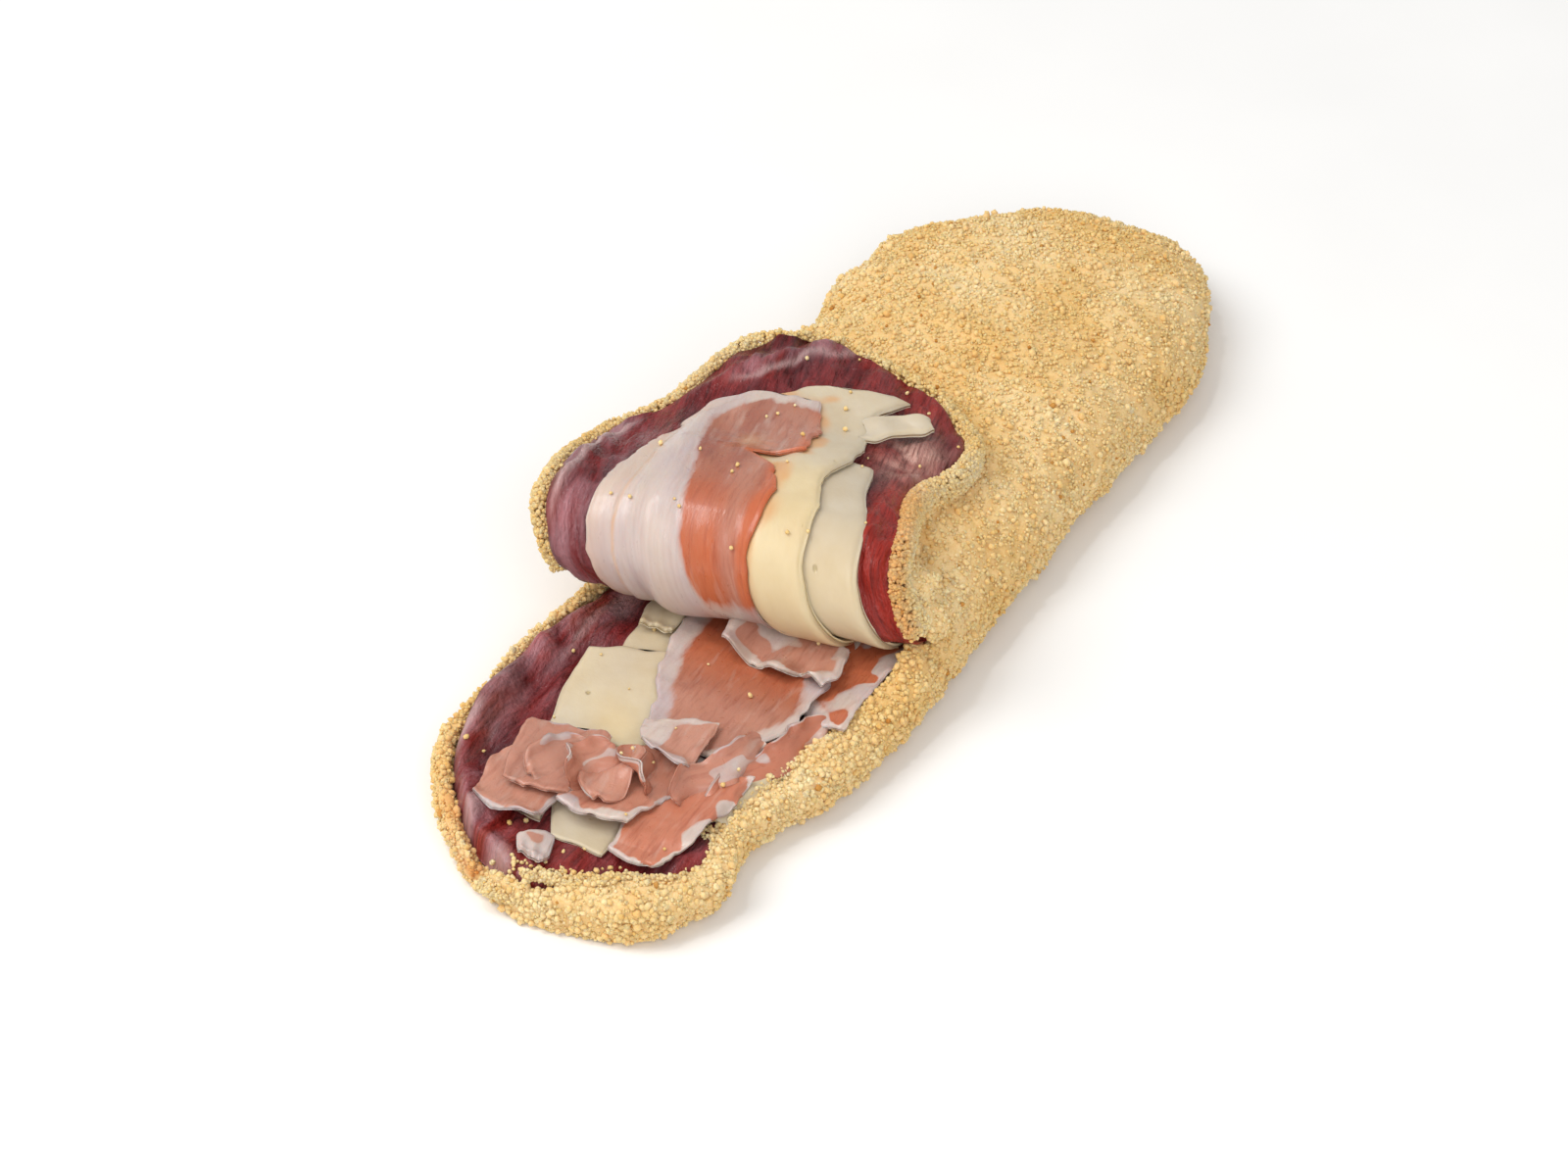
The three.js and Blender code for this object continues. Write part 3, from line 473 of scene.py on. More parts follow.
def mesh_piece(name: str, points: Array, faces: Sequence[Array], marks: dict[str, Array]) -> Piece:
    """Makes a smooth-shaded object.

    Args:
        name: of the object.
        points: positions in mm in the steak's frame.
        faces: arrays of vertex numbers, one row a face; each array may have its own face size.
        marks: values for each point that the finishes read by name, numbers or vectors.

    Returns:
        The linked object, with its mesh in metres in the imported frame.
    """
    mesh = bpy.data.meshes.new(name)
    mesh.vertices.add(len(points))
    put_points(mesh, points)
    loops = np.concatenate([part.ravel() for part in faces]).astype(np.int32)
    sizes = np.concatenate([np.full(len(part), part.shape[1]) for part in faces])
    mesh.loops.add(len(loops))
    mesh.loops.foreach_set("vertex_index", loops)
    mesh.polygons.add(len(sizes))
    mesh.polygons.foreach_set("loop_start", np.concatenate([[0], np.cumsum(sizes)[:-1]]).astype(np.int32))
    mesh.update(calc_edges=True)
    mesh.polygons.foreach_set("use_smooth", np.ones(len(sizes), bool))
    for key, values in marks.items():
        flat = np.asarray(values, np.float32)
        kind = "FLOAT" if flat.ndim == 1 else "FLOAT_VECTOR"
        mark = mesh.attributes.new(key, kind, "POINT")
        mark.data.foreach_set("value" if kind == "FLOAT" else "vector", flat.ravel())
    piece = bpy.data.objects.new(name, mesh)
    bpy.context.scene.collection.objects.link(piece)
    return piece


def grid_faces(rows: int, columns: int, start: int = 0, flip: bool = False) -> Array:
    """Quads of a grid of points that are numbered row by row.

    Args:
        rows: of points.
        columns: of points.
        start: number of the first point.
        flip: turns the faces over.

    Returns:
        Four point numbers for each quad.
    """
    i, j = np.meshgrid(np.arange(rows - 1), np.arange(columns - 1), indexing="ij")
    a = (start + i * columns + j).ravel()
    quad = np.stack([a, a + 1, a + columns + 1, a + columns], 1)
    return quad[:, ::-1] if flip else quad


def slab_piece(name: str, high: Array, low: Array, marks: dict[str, Array]) -> Piece:
    """Closes an upper and a lower face into one sheet with thickness.

    Args:
        name: of the object.
        high: grid of the face that shows, rows by columns by 3.
        low: grid of the other face, with as many rows and the same or fewer columns.
        marks: a number for all, or a grid of numbers or vectors over the face that shows.

    Returns:
        The object.
    """
    rows, many = high.shape[:2]
    few = low.shape[1]
    start = rows * many
    picked = np.round(np.linspace(0, many - 1, few)).astype(int)
    i = np.arange(rows - 1)
    left = np.stack([i * many, (i + 1) * many, start + (i + 1) * few, start + i * few], 1)
    right = left + np.array([many - 1, many - 1, few - 1, few - 1])
    ends = []
    for row in (0, rows - 1):
        upper = row * many + np.arange(many)
        lower = start + row * few + np.arange(few)[::-1]
        ring = np.concatenate([upper, lower])
        ends.append((ring[::-1] if row == 0 else ring)[None])
    faces = [grid_faces(rows, many, flip=True), grid_faces(rows, few, start), left, right[:, ::-1], *ends]
    points = np.concatenate([high.reshape(-1, 3), low.reshape(-1, 3)])
    both = {}
    for key, values in marks.items():
        grid = values if np.ndim(values) == 3 else np.broadcast_to(values, (rows, many))
        shape = (-1, *grid.shape[2:])
        both[key] = np.concatenate([grid.reshape(shape), grid[:, picked].reshape(shape)])
    piece = mesh_piece(name, points, faces, both)
    turn_outward(piece)
    return piece


def turn_outward(piece: Piece) -> None:
    """Turns the faces of a closed piece outward.

    Args:
        piece: the object; it stays as it is unless its volume comes out negative.
    """
    points, _, corners = mesh_arrays(piece.data)
    a, b, c = points[corners].transpose(1, 0, 2)
    if np.einsum("ij,ij->i", a, np.cross(b, c)).sum() < 0:
        piece.data.flip_normals()


def read_all(source: bpy.types.bpy_prop_collection, key: str, width: int, kind: type = np.float32) -> Array:
    """Reads one property of all items of a mesh's collection.

    Args:
        source: the collection.
        key: name of the property.
        width: how many numbers an item has.
        kind: their type.

    Returns:
        One row of numbers for each item.
    """
    values = np.empty(len(source) * width, kind)
    source.foreach_get(key, values)
    return values.reshape(-1, width)


def mesh_arrays(mesh: bpy.types.Mesh) -> tuple[Array, Array, Array]:
    """Reads a mesh.

    Args:
        mesh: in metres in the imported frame.

    Returns:
        Points in mm in the steak's frame, their normals, and the triangles.
    """
    mesh.calc_loop_triangles()
    points = read_all(mesh.vertices, "co", 3) * 1000.0 - SHIFT
    normals = read_all(mesh.vertex_normals, "vector", 3)
    return points, normals, read_all(mesh.loop_triangles, "vertices", 3, np.int32)


# Finishes


def linear(code: str) -> tuple[float, float, float, float]:
    """Turns an sRGB hex colour into linear RGBA."""
    parts = [int(code[i : i + 2], 16) / 255 for i in (1, 3, 5)]
    return (*[p / 12.92 if p <= 0.04045 else ((p + 0.055) / 1.055) ** 2.4 for p in parts], 1.0)


def add_node(tree: bpy.types.NodeTree, kind: str, settings: dict[str | int, Any]) -> bpy.types.Node:
    """Adds a shader node.

    Args:
        tree: the material's nodes.
        kind: the node's type.
        settings: values of properties and inputs, or the sockets that feed them; "stops" are a ramp's
            (position, hex or grey) pairs.

    Returns:
        The node.
    """
    node = tree.nodes.new(kind)
    for key, value in settings.items():
        if isinstance(value, bpy.types.NodeSocket):
            tree.links.new(value, node.inputs[key])
        elif key == "stops":
            ramp = node.color_ramp
            while len(ramp.elements) < len(value):
                ramp.elements.new(0.5)
            for stop, (position, shade) in zip(ramp.elements, value):
                stop.position = position
                stop.color = linear(shade) if isinstance(shade, str) else (shade, shade, shade, 1)
        elif isinstance(key, str) and hasattr(node, key):
            setattr(node, key, value)
        else:
            node.inputs[key].default_value = linear(value) if isinstance(value, str) else value
    return node


@dataclass(frozen=True)
class Surface:
    """A material under construction: its node tree and its shader."""

    material: bpy.types.Material
    tree: bpy.types.NodeTree
    shader: bpy.types.Node

    @classmethod
    def start(cls, name: str, settings: dict[str, float | tuple[float, float, float]]) -> "Surface":
        """Starts a material.

        Args:
            name: of the material.
            settings: the shader's plain values.

        Returns:
            The surface.
        """
        material = bpy.data.materials.new(name)
        material.use_nodes = True
        tree = material.node_tree
        tree.nodes.clear()
        shader = add_node(tree, "ShaderNodeBsdfPrincipled", settings)
        add_node(tree, "ShaderNodeOutputMaterial", {"Surface": shader.outputs[0]})
        return cls(material, tree, shader)

    def socket(self, kind: str, settings: dict[str | int, Any], output: int | str = 0) -> Socket:
        """Adds a node of a kind and gives one of its output sockets."""
        return add_node(self.tree, "ShaderNode" + kind, settings).outputs[output]

    def mark(self, name: str, output: str = "Fac") -> Socket:
        """Socket of a value stored on the mesh's points."""
        return self.socket("Attribute", {"attribute_name": name}, output)

    def place(self, stretch: tuple[float, float, float] = (1, 1, 1)) -> Socket:
        """Socket of the piece's own millimetres, stretched along each axis."""
        return self.socket("Mapping", {"Scale": stretch, "Vector": self.mark("spot", "Vector")})

    def noise(self, size: float, stretch: tuple[float, float, float] = (1, 1, 1), detail: float = 3.0,
              lift: float = 0.0) -> Socket:
        """Socket of a noise at the finish's own place.

        Args:
            size: of its lumps in mm.
            stretch: of its lumps along each axis.
            detail: how many finer layers it has.
            lift: moves it to another patch of the same noise.

        Returns:
            The noise, 0 to 1.
        """
        where = self.place(stretch)
        if lift:
            where = self.socket("VectorMath", {"operation": "ADD", 0: where, 1: (lift, lift, lift)})
        settings = {"Scale": 1 / size, "Detail": detail, "Roughness": 0.55, "Vector": where}
        return self.socket("TexNoise", settings)

    def calc(self, operation: str, *values: Source) -> Socket:
        """Socket of a sum or a product of sockets and numbers."""
        return self.socket("Math", {"operation": operation, **dict(enumerate(values))})

    def ramp(self, source: Socket, *stops: tuple[float, str | float]) -> Socket:
        """Socket of a source sent through colour or grey stops."""
        return self.socket("ValToRGB", {"stops": stops, "Fac": source})

    def blend(self, part: Source, first: Source, second: Source, mode: str = "MIX") -> Socket:
        """Socket of two colours, each a hex code or a socket, mixed by part."""
        return self.socket("Mix", {"data_type": "RGBA", "blend_type": mode, 0: part, 6: first, 7: second}, 2)

    def bump(self, *layers: tuple[Socket, float, float]) -> None:
        """Adds relief.

        Args:
            layers: (height socket, its depth in mm, strength), the coarse ones first.
        """
        below = {}
        for height, depth, strength in layers:
            settings = {"Distance": depth / 1000, "Strength": strength, "Height": height}
            below = {"Normal": self.socket("Bump", settings | below)}
        self.feed(**below, Coat_Normal=below["Normal"])

    def feed(self, **sockets: Socket) -> bpy.types.Material:
        """Links sockets to the shader's inputs, with _ for a space in their names; gives the material."""
        for name, socket in sockets.items():
            self.tree.links.new(socket, self.shader.inputs[name.replace("_", " ")])
        return self.material


@dataclass(frozen=True)
class DryBreadcrumbs:
    """Coarse dry breadcrumbs, crushed from baked bread: dull, golden, each grain of its own shade."""

    toasted: str = "#C08C48"
    golden: str = "#E7C486"
    beige: str = "#EFD3A0"
    pale: str = "#F8E4B8"
    soaked: str = "#D58A4A"  # where meat juice has soaked in
    grain_mm: float = 1.3

    def make(self) -> bpy.types.Material:
        """Builds the material.

        Returns:
            The material.
        """
        # Baked crumb is matte and a little translucent, so that gaps between the grains glow warm.
        surface = Surface.start("dry_breadcrumbs", {
            "Roughness": 0.92, "Specular IOR Level": 0.2, "Subsurface Weight": 0.4,
            "Subsurface Radius": (1.0, 0.65, 0.35), "Subsurface Scale": 0.0016,
        })
        tint = surface.ramp(surface.mark("tint"), (0.0, self.toasted), (0.2, self.golden), (0.55, self.beige),
                            (1.0, self.pale))
        patch = surface.ramp(surface.noise(24), (0.35, "#F6E9CF"), (0.65, "#FFFFFF"))
        colour = surface.blend(1.0, tint, patch, "MULTIPLY")
        speck = surface.ramp(surface.noise(0.5, detail=2), (0.3, "#E6D3B2"), (0.6, "#FFFFFF"))
        colour = surface.blend(0.5, colour, speck, "MULTIPLY")
        colour = surface.blend(surface.mark("soaked"), colour, self.soaked)
        surface.bump((surface.noise(self.grain_mm), 0.4, 0.3), (surface.noise(0.35), 0.15, 0.35))
        return surface.feed(Base_Color=colour)


@dataclass(frozen=True)
class RawVeal:
    """Raw veal, cut along the muscle: wet, fibrous, dark red with silverskin."""

    deep: str = "#4B1418"
    flesh: str = "#80292A"
    fresh: str = "#972A20"
    dull: str = "#CDA294"  # dried, greyish patch
    silverskin: str = "#AE7E84"
    tendon: str = "#CDADAA"
    fibre_mm: float = 0.9

    def make(self) -> bpy.types.Material:
        """Builds the material.

        Returns:
            The material.
        """
        # A film of meat juice gives sharp small lights over a soft, deep red body.
        surface = Surface.start("raw_veal", {
            "Specular IOR Level": 0.2, "Coat Weight": 0.24, "Coat Roughness": 0.09, "IOR": 1.4,
            "Subsurface Weight": 0.12, "Subsurface Radius": (1.0, 0.25, 0.2), "Subsurface Scale": 0.0015,
        })
        fibres = surface.noise(self.fibre_mm, (0.12, 1, 1), 4)
        cloud = surface.ramp(surface.noise(9, (0.5, 1, 1)), (0.36, self.deep), (0.6, self.flesh))
        colour = surface.blend(surface.mark("fresh"), cloud, self.fresh)
        colour = surface.blend(surface.mark("dull"), colour, self.dull)
        threads = surface.ramp(fibres, (0.32, "#9A7470"), (0.55, "#FFFFFF"))
        colour = surface.blend(0.8, colour, threads, "MULTIPLY")
        streaks = surface.ramp(surface.noise(4.5, (0.3, 1, 1), 5, 40), (0.4, 0.0), (0.66, 0.7))
        film = surface.calc("MULTIPLY", streaks, surface.mark("film"))
        colour = surface.blend(film, colour, self.silverskin)
        colour = surface.blend(surface.mark("sinew"), colour, self.tendon)
        rough = surface.ramp(surface.noise(2.5, lift=90), (0.3, 0.25), (0.7, 0.55))
        surface.bump((surface.noise(3.5, (0.4, 1, 1)), 2.0, 0.8), (surface.noise(1.3, (0.6, 1, 1)), 1.0, 0.9),
                      (fibres, 0.6, 0.6))
        return surface.feed(Base_Color=colour, Roughness=rough)


@dataclass(frozen=True)
class CuredHam:
    """Dry-cured ham, sliced thin: salmon lean with white fat, moist and slightly see-through."""

    lean: str = "#A5674F"
    brown: str = "#9A5A49"
    amber: str = "#C66230"  # thin or dried margins
    pale: str = "#C08B77"  # lean that is thin enough to see through
    fat: str = "#CDBDB1"
    cold_fat: str = "#BEAEAD"
    # Also painted as shade along the crease of the flap's ham, through the "line" mark.
    vein: str = "#CFA37E"

    def make(self) -> bpy.types.Material:
        """Builds the material.

        Returns:
            The material.
        """
        # Thin moist slices take the light into them, the fat more than the lean.
        surface = Surface.start("cured_ham", {
            "Specular IOR Level": 0.5, "Subsurface Weight": 0.3, "Subsurface Radius": (1.0, 0.45, 0.3),
            "Subsurface Scale": 0.002, "Coat Weight": 0.2, "Coat Roughness": 0.16,
        })
        streaks = surface.noise(1.3, (0.16, 1, 1), 5)
        lean = surface.ramp(surface.noise(8, (0.5, 1, 1), 5), (0.34, self.brown), (0.6, self.lean))
        lean = surface.blend(surface.mark("pale"), lean, self.pale)
        lean = surface.blend(surface.mark("amber"), lean, self.amber)
        fine = surface.ramp(streaks, (0.3, "#CDA797"), (0.5, "#FFFFFF"), (0.72, "#FFF2E6"))
        lean = surface.blend(0.5, lean, fine, "MULTIPLY")
        thread = surface.ramp(surface.noise(3.2, (0.22, 1, 1), 5, 30), (0.56, 0.0), (0.76, 0.36))
        lean = surface.blend(thread, lean, self.fat)
        fat = surface.ramp(surface.noise(15, (0.6, 1, 1), 3, 70), (0.35, self.cold_fat), (0.6, self.fat))
        vein = surface.ramp(surface.noise(4.5, (0.14, 1, 1), 4, 15), (0.57, 0.0), (0.75, 0.2))
        fat = surface.blend(vein, fat, self.vein)
        grain = surface.ramp(surface.noise(1.2, (0.12, 1, 1), 3, 200), (0.3, "#E6D8D2"), (0.6, "#FFFFFF"))
        fat = surface.blend(0.35, fat, grain, "MULTIPLY")
        ragged = surface.calc("MULTIPLY_ADD", surface.noise(3.4, (0.4, 1, 1), 6, 120), 1.1, -0.55)
        edge = surface.calc("ADD", surface.mark("fat"), ragged)
        zone = surface.ramp(edge, (0.3, 0.0), (0.5, 0.6), (0.75, 0.95))
        colour = surface.blend(zone, lean, fat)
        # Painted shade: the "line" mark lays the vein colour along the crease and on its step's lower side;
        # it also tints the ham round the tear's end.
        colour = surface.blend(surface.mark("line"), colour, self.vein)
        rough = surface.ramp(surface.noise(1.8, lift=60), (0.3, 0.26), (0.7, 0.5))
        surface.bump((surface.noise(10, (0.5, 1, 1), 2), 0.6, 0.4), (streaks, 0.1, 0.2),
                      (surface.noise(1.1, (0.5, 1, 1)), 0.25, 0.6))
        return surface.feed(Base_Color=colour, Roughness=rough)


@dataclass(frozen=True)
class SlicedCheese:
    """Young semi-soft cheese, machine-sliced: ivory, smooth, with a few tiny eyes."""

    ivory: str = "#CBBEA8"
    butter: str = "#DDCAA3"
    # painted shade inside the eyes
    eye: str = "#B9A67C"
    stain: str = "#D39A62"  # where the juice of the ham has soaked in
    eye_spacing_mm: float = 11.0

    def make(self) -> bpy.types.Material:
        """Builds the material.

        Returns:
            The material.
        """
        # Fat and protein scatter the light inside, which softens every edge of the slice.
        surface = Surface.start("sliced_cheese", {
            "Specular IOR Level": 0.45, "Subsurface Weight": 0.3, "Subsurface Radius": (1.0, 0.8, 0.45),
            "Subsurface Scale": 0.003,
        })
        cloud = surface.ramp(surface.noise(14, detail=4), (0.3, "#EADFCB"), (0.65, "#FFFFFF"))
        colour = surface.blend(surface.mark("deep"), self.ivory, self.butter)
        colour = surface.blend(0.6, colour, cloud, "MULTIPLY")
        colour = surface.blend(surface.mark("stain"), colour, self.stain)
        cells = {"Scale": 1 / self.eye_spacing_mm, "Vector": surface.place()}
        # The eyes get a darker colour, painted shade inside them, and a dent in the bump.
        eyes = surface.ramp(surface.socket("TexVoronoi", cells, "Distance"), (0.035, 1.0), (0.075, 0.0))
        colour = surface.blend(eyes, colour, self.eye)
        rough = surface.ramp(surface.noise(4), (0.3, 0.3), (0.7, 0.48))
        pit = surface.calc("SUBTRACT", 1.0, eyes)
        surface.bump((surface.noise(7), 0.6, 0.35), (pit, 0.6, 0.7), (surface.noise(0.8), 0.1, 0.35))
        return surface.feed(Base_Color=colour, Roughness=rough)


@dataclass(frozen=True)
class PalePaper:
    """Matte pale paper sheet under the object."""

    shade: str = "#F1F0EE"

    def make(self) -> bpy.types.Material:
        """Builds the material.

        Returns:
            The material.
        """
        # An even matte sheet shows only the soft shadow of the object.
        surface = Surface.start("pale_paper", {"Roughness": 0.9, "Specular IOR Level": 0.1})
        tint = surface.ramp(surface.noise(120), (0.3, self.shade), (0.7, "#F5F4F2"))
        return surface.feed(Base_Color=tint)


class Finish(Enum):
    """The finishes of the steak, each with the name of the slot that it belongs to."""

    CRUMBS = ("crumbs", DryBreadcrumbs())
    VEAL = ("veal", RawVeal())
    HAM = ("ham", CuredHam())
    CHEESE = ("cheese", SlicedCheese())
    FAT = ("fat", CuredHam())


@dataclass
class Dresser:
    """Gives pieces their finish and body, and hides the imported nodes that they stand for."""

    made: dict[str, bpy.types.Material] = field(default_factory=dict)

    def dress(self, piece: Piece, finish: Finish, *nodes: str) -> Piece:
        """Finishes a piece.

        Args:
            piece: the object.
            finish: what it is made of.
            nodes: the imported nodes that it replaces.

        Returns:
            The piece.
        """
        slot, recipe = finish.value
        key = type(recipe).__name__
        if key not in self.made:
            self.made[key] = recipe.make()
        piece.data.materials.append(self.made[key])
        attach(piece, "root")
        if nodes:
            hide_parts(*nodes)
        LOG.info("%s: %d faces", piece.name, len(piece.data.polygons))
        return piece


@dataclass
class Slab:
    """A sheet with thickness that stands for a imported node, or for none."""

    name: str
    node: str | None
    finish: Finish

    def faces(self) -> tuple[Array, Array, dict[str, Array | float]]:
        """Grids of the face that shows and of the other one, and the marks."""
        raise NotImplementedError

    def build(self, dresser: Dresser) -> Piece:
        """Builds the piece and has it finished."""
        nodes = (self.node,) if self.node else ()
        return dresser.dress(slab_piece(self.name, *self.faces()), self.finish, *nodes)


# The breadcrumb coat


@dataclass
class CrumbCoat:
    """The coat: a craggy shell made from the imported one, and loose-looking grains pressed into it."""

    voxel_mm: float = 1.1
    inward_mm: float = 1.6
    crags: tuple[tuple[float, float], ...] = ((0.55, 7.0), (0.4, 2.8), (0.3, 1.6))  # height and size in mm
    noise: Grain = field(default_factory=lambda: Grain(7))

    def shell(self, dresser: Dresser) -> Piece:
        """Builds the shell.

        Args:
            dresser: finishes it.

        Returns:
            The shell.
        """
        copy = bpy.data.objects.new("coat_form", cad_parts["crumb_coat"].data.copy())
        bpy.context.scene.collection.objects.link(copy)
        self.thicken(copy.data)
        remesh = copy.modifiers.new("even", "REMESH")
        remesh.mode = "VOXEL"
        remesh.voxel_size = self.voxel_mm / 1000
        even = bpy.data.meshes.new_from_object(copy.evaluated_get(bpy.context.evaluated_depsgraph_get()))
        bpy.data.objects.remove(copy)
        points, normals, _ = mesh_arrays(even)
        quads = read_all(even.loops, "vertex_index", 1, np.int32).reshape(-1, 4)
        points = self.relaxed(BODY.snap(points, normals), quads)
        hidden = self.hidden(points, normals)
        quads = quads[~hidden[quads].all(axis=1)]
        used, quads = np.unique(quads, return_inverse=True)
        quads = quads.reshape(-1, 4)
        points, normals = points[used], normals[used]
        points = self.craggy(points, normals)
        marks = {"tint": 0.5 + 0.22 * self.noise(points, 1.1), "soaked": JUICE(points), "spot": points}
        return dresser.dress(mesh_piece("crumb_shell", points, [quads], marks), Finish.CRUMBS, "crumb_coat")

    def thicken(self, mesh: bpy.types.Mesh) -> None:
        """Moves the hidden inner face inward.

        Args:
            mesh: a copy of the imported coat.
        """
        points, normals, _ = mesh_arrays(mesh)
        shift = np.where(self.hidden(points, normals), self.inward_mm, 0.0)
        put_points(mesh, points + normals * shift[:, None])
        mesh.update()

    @staticmethod
    def relaxed(points: Array, quads: Array, turns: int = 5) -> Array:
        """Smooths points by the mean of their neighbours.

        Args:
            points: positions.
            quads: the faces between them.
            turns: how many times.

        Returns:
            The smoothed positions.
        """
        ends = np.concatenate([np.stack([quads[:, i], quads[:, (i + 1) % 4]], 1) for i in range(4)])
        count = np.bincount(ends[:, 0], minlength=len(points))[:, None]
        for _ in range(turns):
            sums = [np.bincount(ends[:, 0], points[ends[:, 1], axis], len(points)) for axis in range(3)]
            points = mix(points, np.stack(sums, 1) / np.maximum(count, 1), 0.5)
        return points

    @staticmethod
    def hidden(points: Array, normals: Array) -> Array:
        """Finds the points on the shell's inner face, deep in the closed part.

        Args:
            points: positions in mm.
            normals: their normals.

        Returns:
            True for each of those points.
        """
        x, y, z = points.T
        middle, half = BODY.plan(x, 0.6)
        inward = (y - middle) * normals[:, 1] + (z - WAIST_Z) * normals[:, 2] < 0
        return inward & (np.abs(y - middle) < half) & (z < BODY.crown(x) + 1) & (x > MOUTH_X + 26)

    def craggy(self, points: Array, normals: Array) -> Array:
        """Relief of the crust, none of it below what the steak lies on.

        Args:
            points: positions in mm.
            normals: their normals.

        Returns:
            The moved positions.
        """
        lift = sum(depth * self.noise(points, size) for depth, size in self.crags)
        upright = np.where(normals[:, 2] < -0.7, 0.0, 1.0)
        moved = points + normals * (lift * upright)[:, None]
        moved[:, 2] = np.maximum(moved[:, 2], 0.0)
        return moved

    def grains(self, shell: Piece, dresser: Dresser) -> None:
        """Presses grains into the shell.

        Args:
            shell: of the coat.
            dresser: finishes them.
        """
        points, _, corners = mesh_arrays(shell.data)
        for kind in (
            GrainKind("fine_crumbs", 101, 16500, (0.75, 1.15), 8),
            GrainKind("broken_crumbs", 102, 16500, (1.0, 1.5), 8),
            GrainKind("round_crumbs", 103, 9800, (1.1, 1.7), 12),
            GrainKind("coarse_crumbs", 104, 1700, (1.7, 2.5), 12),
            GrainKind("ridge_crumbs", 108, 4200, (1.4, 2.4), 12, reach=-52),
        ):
            dresser.dress(kind.scatter(points, corners), Finish.CRUMBS)


class OpenedEnd:
    """Edges of the crumbs beside the meat of the opened end."""

    left = Profile(
        (-174, 21), (-171, 25.5), (-162, 35), (-150, 45), (-138, 50.3), (-118, 52), (-95, 51.5), (-70, 47.5),
        (-35, 45),
    )
    right = Profile(
        (-174, 13), (-170, -2), (-165, -10), (-160, -17), (-156, -26), (-149, -31), (-137, -27.5),
        (-115, -28.5), (-92, -34.5), (-65, -39), (-35, -40),
    )
    front = Profile((-17, -162), (-10, -167), (-2, -172), (13, -176), (21, -175), (26, -171.5))


class Juice:
    """Where meat juice has soaked into the crumbs: beside the meat of the flap and of the opened end."""

    reach_mm = 2.6

    def __init__(self) -> None:
        """Samples the edges of the meat, each sample with how wet it is."""
        l = np.arange(-18, 70, 2.5)
        left, right = UPPER.edges(l)
        x = np.arange(-172, -60, 2.5)
        runs = [
            (UPPER.point(l, right - 1.5, 3.0), 0.7 * ease(l, 40, 24) + 0.12),
            (UPPER.point(l, left + 1.0, 3.0), 0.15 + 0 * l),
        ]
        sides = ((OpenedEnd.left, mix(0.9, 0.2, ease(x, -166, -150))), (OpenedEnd.right, 0.15 + 0 * x))
        for side, wet in sides:
            runs.append((stacked(x, side(x), LOWER.top(x, side(x))), wet))
        self.places, self.wet = (np.concatenate(parts) for parts in zip(*runs))

    def __call__(self, points: Array) -> Array:
        """How wet the crumbs are.

        Args:
            points: positions in mm.

        Returns:
            0 to 1 for each point.
        """
        most = np.zeros(len(points))
        for place, wet in zip(self.places, self.wet):
            far = ((points - place) ** 2).sum(axis=1)
            most = np.maximum(most, wet * np.exp(-far / self.reach_mm**2))
        return most


JUICE = Juice()


